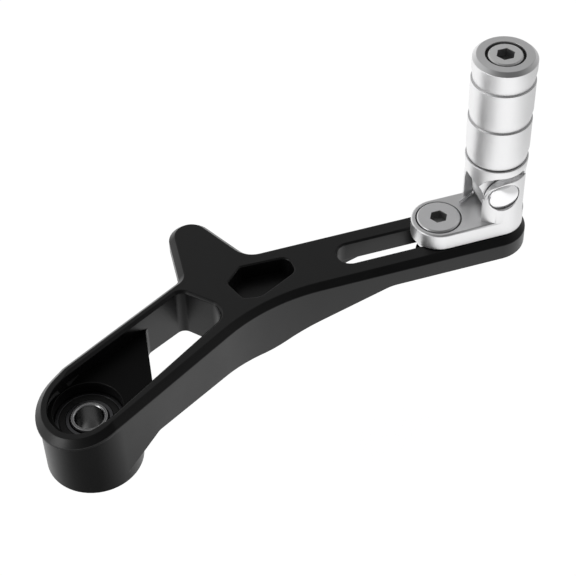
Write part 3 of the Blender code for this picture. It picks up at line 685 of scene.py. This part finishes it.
def crown_cutter(reach, radius, near, far):
    """Takes the left shoulder off a lug, down a quarter of a circle"""
    left, top = HINGE_X - reach, HINGE_Z + LUG_TOP
    spring_line = top - radius
    quarter = arc((left + radius, spring_line), radius, math.pi, math.pi / 2)
    outside = [
        (left + radius, top + WEDGE, 0),
        (left - WEDGE, top + WEDGE, 0),
        (left - WEDGE, spring_line, 0),
    ]
    return side_prism("lug_crown", rounded(as_corners(quarter) + outside), near, far)


def make_bracket():
    plate = stadium(PLATE_START_X, BRACKET_END_X, BAR_CENTRE, BRACKET_RADIUS)
    bracket = loft("peg_bracket", [
        (plate, BRACKET_FLOOR),
        (plate, BRACKET_TOP - BRACKET_CHAMFER),
        (inset(plate, BRACKET_CHAMFER), BRACKET_TOP),
    ])
    near, far = BAR_CENTRE - BRACKET_RADIUS, BAR_CENTRE + BRACKET_RADIUS
    lug_foot, lug_top = BRACKET_FLOOR + BRACKET_CHAMFER, HINGE_Z + LUG_TOP
    lugs = prism("lugs", stadium(HINGE_X, BRACKET_END_X, BAR_CENTRE, BRACKET_RADIUS), lug_foot, lug_top)
    left, right = HINGE_X - FAR_LUG_LEFT, HINGE_X + BRACKET_RADIUS / 2
    shoulder = far - 2 * FAR_LUG_THICKNESS
    wide = rounded([(left, shoulder, 0), (right, shoulder, 0), (right, far - SEAT_GAP, 0),
                    (left, far - SEAT_GAP, FAR_LUG_CORNER)])
    boolean(lugs, crown_cutter(NEAR_LUG_LEFT, NEAR_CROWN_RADIUS, near - WEDGE, BAR_CENTRE))
    boolean(lugs, prism("far_lug", wide, lug_foot, lug_top), "UNION")
    boolean(lugs, crown_cutter(FAR_LUG_LEFT, FAR_CROWN_RADIUS, BAR_CENTRE, far + WEDGE))
    channel = box("channel", (left - 2 * WEDGE, near + NEAR_LUG_THICKNESS, BRACKET_TOP),
                  (BRACKET_END_X + PEG_RADIUS, far - FAR_LUG_THICKNESS, lug_top + WEDGE))
    boolean(bracket, lugs, "UNION")
    boolean(bracket, channel)
    key = stadium(SCREW_X - SCREW_RADIUS, SLOT_END - SEAT_GAP, BAR_CENTRE, SLOT_HALF_WIDTH - SEAT_GAP)
    boolean(bracket, prism("key", key, BRACKET_FLOOR - KEY_DEPTH, BRACKET_FLOOR + BRACKET_CHAMFER), "UNION")
    centre = (SCREW_X, BAR_CENTRE, 0)
    boolean(bracket, stepped_hole(
        "screw_hole", SCREW_RADIUS + SEAT_GAP, BRACKET_FLOOR - KEY_DEPTH - WEDGE,
        DISC_RADIUS + DISC_GAP, DISC_TOP - DISC_THICKNESS - SEAT_GAP, DISC_TOP + WEDGE, centre))
    return boolean(bracket, stepped_hole(
        "pin_hole", PIN_RADIUS + RUNNING_GAP, far + WEDGE,
        PIN_HEAD_RADIUS + SEAT_GAP, near + PIN_HEAD_SINK, near - WEDGE, (HINGE_X, 0, HINGE_Z), "Y"))


def make_clamp_screw():
    chamfer = SCREW_CHAMFER
    disc_bottom = DISC_TOP - DISC_THICKNESS
    shank_end = ARM_TOP - BAR_THICKNESS + TRACK_DEPTH - NUT_THICKNESS
    profile = [
        (0, DISC_TOP), (DISC_RADIUS - chamfer, DISC_TOP), (DISC_RADIUS, DISC_TOP - chamfer),
        (DISC_RADIUS, disc_bottom), (SCREW_RADIUS, disc_bottom), (SCREW_RADIUS, shank_end + chamfer),
        (SCREW_RADIUS - chamfer, shank_end), (0, shank_end),
    ]
    screw = turned("clamp_screw", profile, MEDIUM_TURN, (SCREW_X, BAR_CENTRE, 0))
    socket = prism("clamp_hex", hexagon(CLAMP_HEX_FLAT, (SCREW_X, BAR_CENTRE)),
                   DISC_TOP - CLAMP_HEX_DEPTH, DISC_TOP + WEDGE)
    return boolean(screw, socket)


def make_clamp_nut():
    top = ARM_TOP - BAR_THICKNESS + TRACK_DEPTH - SEAT_GAP
    half = NUT_LENGTH / 2 - TRACK_HALF_WIDTH + SEAT_GAP
    outline = stadium(SCREW_X - half, SCREW_X + half, BAR_CENTRE, TRACK_HALF_WIDTH - SEAT_GAP)
    nut = prism("clamp_nut", outline, top - NUT_THICKNESS, top)
    hole = cylinder("nut_hole", SCREW_RADIUS + SEAT_GAP, top - NUT_THICKNESS - WEDGE, top + WEDGE,
                    (SCREW_X, BAR_CENTRE, 0))
    return boolean(nut, hole)


def make_hinge_pin():
    """Pin with a domed head in the near lug; its plain end stops inside the far lug's face"""
    near = BAR_CENTRE - BRACKET_RADIUS
    seat = near + PIN_HEAD_SINK - SEAT_GAP
    sphere = (PIN_HEAD_RADIUS ** 2 + PIN_DOME ** 2) / (2 * PIN_DOME)
    edge = math.asin(PIN_HEAD_RADIUS / sphere)
    middle = near + PIN_RIM_DEPTH + sphere * math.cos(edge)
    angles = (edge * i / PIN_DOME_STEPS for i in range(PIN_DOME_STEPS, -1, -1))
    dome = [(sphere * math.sin(a), middle - sphere * math.cos(a)) for a in angles]
    far = BAR_CENTRE + BRACKET_RADIUS - PIN_TAIL_SINK
    profile = [(0, far), (PIN_RADIUS, far), (PIN_RADIUS, seat), (PIN_HEAD_RADIUS, seat)] + dome
    return turned("hinge_pin", profile, COARSE_TURN, (HINGE_X, 0, HINGE_Z), "Y")


def neck_profile():
    """Outer side of the peg's core from the collar down to the tongue, radius over height"""
    rise = COLLAR_START - NECK_START
    step = PEG_RADIUS - TONGUE_RADIUS
    radius = (rise ** 2 + step ** 2) / (2 * step)
    sweep = math.asin(rise / radius)
    angles = (sweep * i / NECK_STEPS for i in range(NECK_STEPS, -1, -1))
    return [(TONGUE_RADIUS + radius - radius * math.cos(a), HINGE_Z + NECK_START + radius * math.sin(a))
            for a in angles]


def fork_cutter(name, inner, outer):
    """Room for a lug beside the tongue, open below and to the right, with a rounded roof"""
    left, right = HINGE_X - FORK_LEFT, HINGE_X + 2 * PEG_RADIUS
    bottom, roof = HINGE_Z - 2 * TONGUE_DROP, HINGE_Z + FORK_CEILING
    corners = [(left, bottom, 0), (right, bottom, 0), (right, roof, 0), (left, roof, FORK_CORNER_RADIUS)]
    return side_prism(name, rounded(corners), inner, outer)


def flat_cutter(name, side):
    """Cuts the tongue's left or right side flat, in a wide sweep out into the neck"""
    flat = HINGE_X + side * TONGUE_FLAT
    centre = (flat + side * FLARE_RADIUS, HINGE_Z + FLARE_START)
    reach, bottom = centre[0] + side * PEG_RADIUS, HINGE_Z - 2 * TONGUE_DROP
    rise = math.acos((TONGUE_FLAT + FLARE_RADIUS - PEG_RADIUS - SEAT_GAP) / FLARE_RADIUS)
    start = (1 + side) * math.pi / 2
    sweep = arc(centre, FLARE_RADIUS, start, start - side * rise)
    corners = as_corners(sweep) + [(reach, sweep[-1].y, 0), (reach, bottom, 0), (flat, bottom, 0)]
    return side_prism(name, rounded(corners), BAR_CENTRE - 2 * PEG_RADIUS, BAR_CENTRE + 2 * PEG_RADIUS)


def make_core():
    """Peg core: a tongue between the lugs, a flared neck and a spigot inside the grip"""
    bottom = HINGE_Z - TONGUE_DROP
    collar_top = GRIP_FOOT - SEAT_GAP
    spigot_top = PEG_FACE - CAP_HEAD_HEIGHT - SEAT_GAP
    profile = [(0, spigot_top), (SPIGOT_RADIUS, spigot_top), (SPIGOT_RADIUS, collar_top),
               (PEG_RADIUS, collar_top)] + neck_profile() + [(TONGUE_RADIUS, bottom), (0, bottom)]
    core = turned("peg_core", profile, FINE_TURN, PEG_CENTRE)
    boolean(core, fork_cutter("near_fork", BAR_CENTRE - 2 * PEG_RADIUS, BAR_CENTRE - TONGUE_NEAR))
    boolean(core, fork_cutter("far_fork", BAR_CENTRE + TONGUE_FAR, BAR_CENTRE + 2 * PEG_RADIUS))
    boolean(core, flat_cutter("left_flat", -1))
    boolean(core, flat_cutter("right_flat", 1))
    toe = TONGUE_TOE_RADIUS
    left = HINGE_X - TONGUE_FLAT
    corner = [(left - WEDGE, bottom - WEDGE, 0), (left + toe, bottom - WEDGE, 0)]
    corner += as_corners(arc((left + toe, bottom + toe), toe, 1.5 * math.pi, math.pi))
    corner += [(left - WEDGE, bottom + toe, 0)]
    boolean(core, side_prism("toe_round", rounded(corner), BAR_CENTRE - PEG_RADIUS, BAR_CENTRE + PEG_RADIUS))
    pocket_floor = BAR_CENTRE + TONGUE_FAR - SPRING_PITCH - SPRING_WIRE
    boolean(core, stepped_hole(
        "core_bore", PIN_RADIUS + RUNNING_GAP, BAR_CENTRE - PEG_RADIUS,
        SPRING_POCKET_RADIUS, pocket_floor, BAR_CENTRE + PEG_RADIUS, (HINGE_X, 0, HINGE_Z), "Y"))
    return boolean(core, cylinder("cap_thread", CAP_SHANK_RADIUS + SEAT_GAP,
                                  spigot_top - CAP_SHANK_LENGTH, spigot_top + WEDGE, PEG_CENTRE))


def make_grip():
    """Grip turned with two sawtooth grooves and a tapered foot, bored for the spigot and the cap"""
    bore, seat = SPIGOT_RADIUS + SEAT_GAP, CAP_SEAT_RADIUS
    profile = [(PEG_RADIUS - PEG_TOP_CHAMFER, PEG_FACE), (PEG_RADIUS, PEG_RIM)]
    for crease, ledge in zip(GROOVE_CREASES, GROOVE_LEDGES):
        profile += [(PEG_RADIUS, PEG_RIM - crease), (PEG_RADIUS - GROOVE_DEPTH, PEG_RIM - ledge),
                    (PEG_RADIUS, PEG_RIM - ledge)]
    seat_bottom = PEG_FACE - CAP_HEAD_HEIGHT
    profile += [(PEG_RADIUS, PEG_RIM - FOOT_CREASE), (PEG_RADIUS - GROOVE_DEPTH, GRIP_FOOT),
                (bore, GRIP_FOOT), (bore, seat_bottom), (seat, seat_bottom), (seat, PEG_FACE)]
    return turned("peg_grip", profile, FINE_TURN, PEG_CENTRE)


def make_spring():
    """Torsion spring round the pin: the coil, and a leg down to the bracket's floor"""
    far_face = BAR_CENTRE + BRACKET_RADIUS - FAR_LUG_THICKNESS
    last_y = far_face - SEAT_GAP - SPRING_WIRE
    count = round(SPRING_TURNS * SPRING_STEPS)
    coil = []
    for i in range(count, -1, -1):
        turn = i / SPRING_STEPS
        angle = math.pi - 2 * math.pi * turn
        coil.append(Vector((HINGE_X + SPRING_RADIUS * math.cos(angle), last_y - SPRING_PITCH * turn,
                            HINGE_Z + SPRING_RADIUS * math.sin(angle))))
    leg_x = HINGE_X - SPRING_RADIUS
    leg_z = BRACKET_TOP + SEAT_GAP + SPRING_WIRE
    bend = SPRING_BEND
    leg = [Vector((leg_x, last_y, HINGE_Z - SPRING_RADIUS / 2)), Vector((leg_x, last_y, leg_z + bend))]
    leg += [Vector((leg_x - bend + bend * math.cos(a), last_y, leg_z + bend - bend * math.sin(a)))
            for a in (math.pi / 6, math.pi / 3, math.pi / 2)]
    leg += [Vector((SPRING_LEG_END, last_y - SPRING_LEG_SKEW, leg_z))]
    return solid_from_curve("torsion_spring", coil + leg, SPRING_WIRE)


def box_centre(node):
    low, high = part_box(node)
    return (low + high) / 2


def clean_copy(node):
    """The node's faces as a fresh mesh, with split corners welded and flat neighbours joined"""
    source = frame["nodes"][node].data
    bm = bmesh.new()
    points = [bm.verts.new(v.co) for v in source.vertices]
    bm.verts.index_update()
    for face in source.polygons:
        bm.faces.new([points[i] for i in face.vertices])
    bmesh.ops.remove_doubles(bm, verts=bm.verts, dist=WELD)
    bmesh.ops.dissolve_limit(bm, angle_limit=FLAT_ANGLE, verts=bm.verts, edges=bm.edges)
    bmesh.ops.recalc_face_normals(bm, faces=bm.faces)
    return bm


def in_bore_mouth(edge):
    """Whether an edge is on the narrow ledge round the bearing's recess, too thin to be rounded"""
    return all(v.co.xy.length < BORE_MOUTH_REACH and v.co.z < BOSS_FLOOR + EDGE_CHAMFER for v in edge.verts)


def soften(bm, width, left_sharp=None):
    """Rounds every outer crease sharper than EDGE_ANGLE, but for those that left_sharp names"""
    creases = [e for e in bm.edges if len(e.link_faces) == 2 and e.is_convex
               and e.calc_face_angle(0) > EDGE_ANGLE and not (left_sharp and left_sharp(e))]
    bmesh.ops.bevel(bm, geom=creases, offset=width, offset_type="OFFSET", segments=EDGE_SEGMENTS,
                    profile=0.5, affect="EDGES", clamp_overlap=False)


def finish_piece(name, bm, look, body, node):
    mesh = bpy.data.meshes.new(name)
    bm.to_mesh(mesh)
    bm.free()
    obj = bpy.data.objects.new(name, mesh)
    bpy.context.scene.collection.objects.link(obj)
    mesh.materials.append(look)
    mesh.shade_smooth()
    mesh.set_sharp_from_angle(angle=SHARP_ANGLE)
    weighted = obj.modifiers.new("flat faces stay flat", "WEIGHTED_NORMAL")
    weighted.keep_sharp = True
    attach(obj, body)
    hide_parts(node)
    return obj


def worked(obj):
    """The object's faces with its modifiers carried out, as a fresh mesh; clears the workshop"""
    bpy.context.view_layer.update()
    mesh = bpy.data.meshes.new_from_object(obj.evaluated_get(bpy.context.evaluated_depsgraph_get()))
    mesh.transform(obj.matrix_world)
    bm = bmesh.new()
    bm.from_mesh(mesh)
    bpy.data.meshes.remove(mesh)
    for item in list(workshop.objects):
        bpy.data.objects.remove(item)
    bmesh.ops.remove_doubles(bm, verts=bm.verts, dist=WELD)
    bmesh.ops.dissolve_limit(bm, angle_limit=FLAT_ANGLE, verts=bm.verts, edges=bm.edges)
    bmesh.ops.recalc_face_normals(bm, faces=bm.faces)
    return bm


def paint_shade_inside(piece, axis, reach, top, look):
    """Paints shade on the faces near a vertical axis and under the top, such as a socket's, with a darker
    material of their own
    """
    piece.data.materials.append(look)
    for face in piece.data.polygons:
        if (face.center.xy - Vector(axis[:2])).length < reach and face.center.z < top - WELD:
            face.material_index = 1


# Painted shade: the pocket's floor at the boss gets a darker, less glossy black than the arm
def paint_pocket_floor_shade(arm, look):
    arm.data.materials.append(look)
    for face in arm.data.polygons:
        at_floor = abs(face.center.z - BOSS_FLOOR) < SEAT_GAP and face.normal.z > FACING_UP
        if at_floor and face.center.x < WINDOW_START + EDGE_CHAMFER:
            face.material_index = 1


def rebuild(node, name, look, body, make, width, left_sharp=None):
    """A piece that is built here takes the node's place"""
    bm = worked(make())
    if width:
        soften(bm, width, left_sharp)
    return finish_piece(name, bm, look, body, node)


def dress(node, name, look, body, width):
    """A softened copy of the node takes its place"""
    bm = clean_copy(node)
    if width:
        soften(bm, width)
    return finish_piece(name, bm, look, body, node)


def principled(name, colour, metallic, roughness):
    made = bpy.data.materials.new(name)
    made.use_nodes = True
    shader = made.node_tree.nodes["Principled BSDF"]
    shader.inputs["Base Color"].default_value = (*colour, 1)
    shader.inputs["Metallic"].default_value = metallic
    shader.inputs["Roughness"].default_value = roughness
    return made, made.node_tree.nodes, made.node_tree.links, shader


def place_of(nodes, links, centre=None):
    """Object coordinates, moved so that a turned piece's axis is at their origin"""
    coordinates = nodes.new("ShaderNodeTexCoord")
    if centre is None:
        return coordinates.outputs["Object"]
    moved = nodes.new("ShaderNodeVectorMath")
    moved.operation = "SUBTRACT"
    links.new(coordinates.outputs["Object"], moved.inputs[0])
    moved.inputs[1].default_value = centre
    return moved.outputs["Vector"]


def noise(nodes, links, place, scale, detail):
    texture = nodes.new("ShaderNodeTexNoise")
    texture.inputs["Scale"].default_value = scale
    texture.inputs["Detail"].default_value = detail
    links.new(place, texture.inputs["Vector"])
    return texture.outputs["Fac"]


def spread(nodes, links, value, low, high):
    """Maps the middle of a noise's range to low and high"""
    mapped = nodes.new("ShaderNodeMapRange")
    mapped.inputs["From Min"].default_value, mapped.inputs["From Max"].default_value = NOISE_MIDDLE
    mapped.inputs["To Min"].default_value = low
    mapped.inputs["To Max"].default_value = high
    links.new(value, mapped.inputs["Value"])
    return mapped.outputs["Result"]


def tint(nodes, links, value, dark, light):
    mixed = nodes.new("ShaderNodeMix")
    mixed.data_type = "RGBA"
    mixed.inputs["A"].default_value = (*dark, 1)
    mixed.inputs["B"].default_value = (*light, 1)
    links.new(value, mixed.inputs["Factor"])
    return mixed.outputs["Result"]


def bump(nodes, links, height, distance):
    made = nodes.new("ShaderNodeBump")
    made.inputs["Strength"].default_value = 1.0
    made.inputs["Distance"].default_value = distance
    links.new(height, made.inputs["Height"])
    return made.outputs["Normal"]


def blasted(name, colour, metallic, roughness, grain, variation, specular=0.5):
    """Bead-blasted and anodised alloy: fine dimples, with faint drifts in shade and gloss"""
    made, nodes, links, shader = principled(name, colour, metallic, roughness)
    place = place_of(nodes, links)
    drift = noise(nodes, links, place, BLASTED_DRIFT, 3)
    fine = noise(nodes, links, place, BLASTED_GRAIN, 2)
    shader.inputs["Specular IOR Level"].default_value = specular
    links.new(spread(nodes, links, drift, roughness - variation, roughness + variation),
              shader.inputs["Roughness"])
    dark = [c * (1 - TINT_PER_VARIATION * variation) for c in colour]
    light = [min(1, c * (1 + TINT_PER_VARIATION * variation)) for c in colour]
    shade = spread(nodes, links, drift, 0, 1)
    links.new(tint(nodes, links, shade, dark, light), shader.inputs["Base Color"])
    links.new(bump(nodes, links, fine, grain), shader.inputs["Normal"])
    return made


def lathed(name, colour, roughness, centre):
    """Turned steel: fine tool rings round the piece's own upright axis"""
    made, nodes, links, shader = principled(name, colour, 1.0, roughness)
    place = place_of(nodes, links, centre)
    rings = nodes.new("ShaderNodeTexWave")
    rings.wave_type = "RINGS"
    rings.rings_direction = "Z"
    rings.inputs["Scale"].default_value = WAVE_SCALE / RING_PITCH
    rings.inputs["Distortion"].default_value = RING_DISTORTION
    links.new(place, rings.inputs["Vector"])
    drift = noise(nodes, links, place, LATHED_DRIFT, 2)
    smooth, rough = roughness * (1 - LATHED_VARIATION), roughness * (1 + LATHED_VARIATION)
    links.new(spread(nodes, links, drift, smooth, rough), shader.inputs["Roughness"])
    links.new(bump(nodes, links, rings.outputs["Fac"], RING_DEPTH), shader.inputs["Normal"])
    return made


def plain_metal(name, colour, roughness, variation, scale):
    """Metal with a gloss that drifts a little, over a noise of the given scale"""
    made, nodes, links, shader = principled(name, colour, 1.0, roughness)
    place = place_of(nodes, links)
    drift = noise(nodes, links, place, scale, 3)
    links.new(spread(nodes, links, drift, roughness * (1 - variation), roughness * (1 + variation)),
              shader.inputs["Roughness"])
    links.new(bump(nodes, links, drift, METAL_BUMP), shader.inputs["Normal"])
    return made


def rubber(name):
    made, nodes, links, shader = principled(name, (RUBBER_SHADE,) * 3, 0.0, RUBBER_ROUGHNESS)
    place = place_of(nodes, links)
    fine = noise(nodes, links, place, RUBBER_GRAIN, 2)
    links.new(spread(nodes, links, fine, RUBBER_ROUGHNESS - RUBBER_VARIATION,
                     RUBBER_ROUGHNESS + RUBBER_VARIATION), shader.inputs["Roughness"])
    links.new(bump(nodes, links, fine, RUBBER_BUMP), shader.inputs["Normal"])
    return made


def dot_with(nodes, links, direction, way):
    product = nodes.new("ShaderNodeVectorMath")
    product.operation = "DOT_PRODUCT"
    links.new(direction, product.inputs[0])
    product.inputs[1].default_value = Vector(way).normalized()
    return product.outputs["Value"]


def changing(nodes, links, value, start, end, low, high):
    """Smooth step from low to high as the value goes from start to end"""
    mapped = nodes.new("ShaderNodeMapRange")
    mapped.interpolation_type = "SMOOTHSTEP"
    mapped.inputs["From Min"].default_value = start
    mapped.inputs["From Max"].default_value = end
    mapped.inputs["To Min"].default_value = low
    mapped.inputs["To Max"].default_value = high
    links.new(value, mapped.inputs["Value"])
    return mapped.outputs["Result"]


def math_of(nodes, links, operation, one, other):
    made = nodes.new("ShaderNodeMath")
    made.operation = operation
    links.new(one, made.inputs[0])
    links.new(other, made.inputs[1])
    return made.outputs["Value"]


def floor_glow(nodes, links):
    """White to the camera; in reflections it dims in front of the boss, as a painted shadow of the boss, and
    far to the right
    """
    paths = nodes.new("ShaderNodeLightPath").outputs
    place = nodes.new("ShaderNodeNewGeometry").outputs["Position"]
    away = nodes.new("ShaderNodeVectorMath")
    away.operation = "DISTANCE"
    links.new(place, away.inputs[0])
    away.inputs[1].default_value = DIM_PLACE
    near_boss = changing(nodes, links, away.outputs["Value"], *DIM_CHANGE)
    right = changing(nodes, links, dot_with(nodes, links, place, ALONG_X), *ALONG_X_CHANGE)
    dimmed = math_of(nodes, links, "MULTIPLY", near_boss, right)
    mirrored = math_of(nodes, links, "MULTIPLY", paths["Is Glossy Ray"], dimmed)
    clear = math_of(nodes, links, "MAXIMUM", paths["Is Camera Ray"], paths["Is Transmission Ray"])
    glow = nodes.new("ShaderNodeMath")
    glow.operation = "MULTIPLY"
    links.new(math_of(nodes, links, "MAXIMUM", clear, mirrored), glow.inputs[0])
    glow.inputs[1].default_value = FLOOR_GLOW
    return glow.outputs["Value"]


def studio_floor():
    bm = bmesh.new()
    bmesh.ops.create_grid(bm, x_segments=1, y_segments=1, size=FLOOR_HALF)
    mesh = bpy.data.meshes.new("studio_floor")
    bm.to_mesh(mesh)
    bm.free()
    floor = bpy.data.objects.new("studio_floor", mesh)
    floor.location = (0, 0, FLOOR_LEVEL)
    bpy.context.scene.collection.objects.link(floor)
    made, nodes, links, shader = principled("pale floor", (FLOOR_COLOUR,) * 3, 0.0, FLOOR_ROUGHNESS)
    shader.inputs["Specular IOR Level"].default_value = 0.0
    shader.inputs["Emission Color"].default_value = (1, 1, 1, 1)
    links.new(floor_glow(nodes, links), shader.inputs["Emission Strength"])
    mesh.materials.append(made)


def studio_world():
    """White walls that are dark behind the photographer and dimmer on the right"""
    world = bpy.data.worlds.new("studio")
    bpy.context.scene.world = world
    world.use_nodes = True
    nodes, links = world.node_tree.nodes, world.node_tree.links
    direction = nodes.new("ShaderNodeTexCoord").outputs["Generated"]
    height = changing(nodes, links, dot_with(nodes, links, direction, UP), *UP_CHANGE)
    behind = changing(nodes, links, dot_with(nodes, links, direction, BEHIND_CAMERA), *BEHIND_CHANGE)
    right = changing(nodes, links, dot_with(nodes, links, direction, RIGHT), *RIGHT_CHANGE)
    level = math_of(nodes, links, "MULTIPLY", math_of(nodes, links, "MULTIPLY", height, behind), right)
    nodes["Background"].inputs["Color"].default_value = (1, 1, 1, 1)
    links.new(level, nodes["Background"].inputs["Strength"])


def studio_lamp():
    lamp = bpy.data.lights.new("left", "AREA")
    lamp.shape = "RECTANGLE"
    lamp.size, lamp.size_y = LAMP_SIZE
    lamp.energy = LAMP_POWER
    obj = bpy.data.objects.new("left", lamp)
    obj.location = LAMP_PLACE
    obj.rotation_euler = (Vector(LAMP_TARGET) - Vector(LAMP_PLACE)).to_track_quat("-Z", "Y").to_euler()
    bpy.context.scene.collection.objects.link(obj)


def photo_camera():
    forward = Vector((0, math.cos(CAMERA_PITCH), -math.sin(CAMERA_PITCH)))
    level = Vector((1, 0, 0))
    down = forward.cross(level)
    right = level * math.cos(CAMERA_ROLL) + down * math.sin(CAMERA_ROLL)
    up = level * math.sin(CAMERA_ROLL) - down * math.cos(CAMERA_ROLL)
    turn = Matrix.Rotation(CAMERA_HEADING, 3, "Z") @ Matrix((right, up, -forward)).transposed()
    data = bpy.data.cameras.new("photo_camera")
    data.lens = CAMERA_LENS
    data.sensor_width = CAMERA_SENSOR
    data.sensor_fit = "HORIZONTAL"
    camera = bpy.data.objects.new("photo_camera", data)
    camera.matrix_world = Matrix.Translation(CAMERA_PLACE) @ turn.to_4x4()
    bpy.context.scene.collection.objects.link(camera)
    bpy.context.scene.camera = camera


workshop = bpy.data.collections.new("workshop")
bpy.context.scene.collection.children.link(workshop)
bpy.context.scene.view_settings.view_transform = "Standard"
photo_camera()
studio_world()
studio_floor()
studio_lamp()

# Name, colour, metallic, roughness, depth of the grain, variation and, for black, the specular level
black = blasted("black anodised", (0.006, 0.006, 0.0063), 0.0, 0.36, 0.000010, 0.04, 0.39)
# Painted shade for the pocket's floor at the boss: a darker black with less sheen
pocket_floor_shade = blasted("painted pocket floor shade", (0.003, 0.003, 0.003), 0.0, 0.5, 0.000010, 0.04, 0.12)
silver = blasted("silver anodised", (0.88, 0.88, 0.885), 1.0, 0.42, 0.000008, 0.03)

# Name, colour, roughness, then the axis of the tool rings, or the variation and the noise's scale
peg_axis = box_centre("peg_grip")
screw_axis = box_centre("clamp_screw")
screw_look = lathed("turned steel", (0.90, 0.90, 0.91), 0.36, screw_axis)
cap_look = lathed("turned cap", (0.97, 0.97, 0.97), 0.5, peg_axis)
pin_look = plain_metal("polished pin", (0.90, 0.90, 0.91), 0.09, 0.2, 900)
wire_look = plain_metal("spring wire", (0.60, 0.60, 0.61), 0.22, 0.3, 1500)
sleeve_look = plain_metal("ground sleeve", (0.72, 0.72, 0.73), 0.26, 0.25, 1200)
race_look = plain_metal("bearing steel", (0.10, 0.10, 0.105), 0.35, 0.25, 900)
ball_look = plain_metal("bearing balls", (0.70, 0.70, 0.71), 0.12, 0.1, 900)
nut_look = plain_metal("blackened steel", (0.06, 0.06, 0.062), 0.4, 0.25, 700)
rubber_look = rubber("seal rubber")
# Painted shade: darker steels for the sleeve's bore and the screws' sockets
bore_shade_look = plain_metal("painted bore shade", (0.22, 0.22, 0.22), 0.2, 0.25, 900)
socket_shade_look = plain_metal("painted socket shade", (0.42, 0.42, 0.422), 0.5, 0.25, 900)

# Node, piece, look, body, for a rebuilt piece its maker, and the width of the softened edges
arm = rebuild("lever_arm", "arm", black, "arm", make_arm, ARM_EDGE, in_bore_mouth)
# Painted shade on the pocket's floor at the boss
paint_pocket_floor_shade(arm, pocket_floor_shade)
rebuild("peg_bracket", "bracket", silver, "bracket", make_bracket, BRACKET_EDGE)
rebuild("peg_core", "core", silver, "peg", make_core, CORE_EDGE)
rebuild("peg_grip", "grip", silver, "peg", make_grip, GRIP_EDGE)
screw = rebuild("clamp_screw", "screw", screw_look, "bracket", make_clamp_screw, SCREW_EDGE)
# Painted shade in the clamp screw's hex socket
paint_shade_inside(screw, screw_axis, SOCKET_REACH, DISC_TOP, socket_shade_look)
cap = dress("end_cap_screw", "cap", cap_look, "peg", SCREW_EDGE)
# Painted shade in the cap's socket
paint_shade_inside(cap, peg_axis, SOCKET_REACH, PEG_FACE, socket_shade_look)
rebuild("hinge_pin", "pin", pin_look, "bracket", make_hinge_pin, PIN_EDGE)
rebuild("torsion_spring", "spring", wire_look, "bracket", make_spring, UNSOFTENED)
sleeve = dress("pivot_sleeve", "sleeve", sleeve_look, "pivot", SLEEVE_EDGE)
# Painted shade down the sleeve's bore
paint_shade_inside(sleeve, (0, 0), BORE_REACH, ARM_TOP, bore_shade_look)
rebuild("clamp_nut", "nut", nut_look, "bracket", make_clamp_nut, NUT_EDGE)
dress("cap_ring", "cap_seal", rubber_look, "peg", UNSOFTENED)
for level in ("lower", "upper"):
    dress(level + "_bearing_outer_ring", level + "_outer_ring", race_look,
          "arm", OUTER_RING_EDGE)
    dress(level + "_bearing_inner_ring", level + "_inner_ring", race_look,
          "pivot", INNER_RING_EDGE)
    for side in ("lower", "upper"):
        dress("%s_bearing_%s_seal" % (level, side), "%s_%s_seal" % (level, side), rubber_look,
              "arm", SEAL_EDGE)
    for i in range(BALLS):
        ball = "%s_bearing_ball_%02d" % (level, i + 1)
        low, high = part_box(ball)
        bm = bmesh.new()
        bmesh.ops.create_icosphere(bm, subdivisions=BALL_SUBDIVISIONS, radius=(high.z - low.z) / 2,
                                   matrix=Matrix.Translation((low + high) / 2))
        finish_piece("%s_ball_%02d" % (level, i + 1), bm, ball_look, "arm", ball)

bpy.data.collections.remove(workshop)
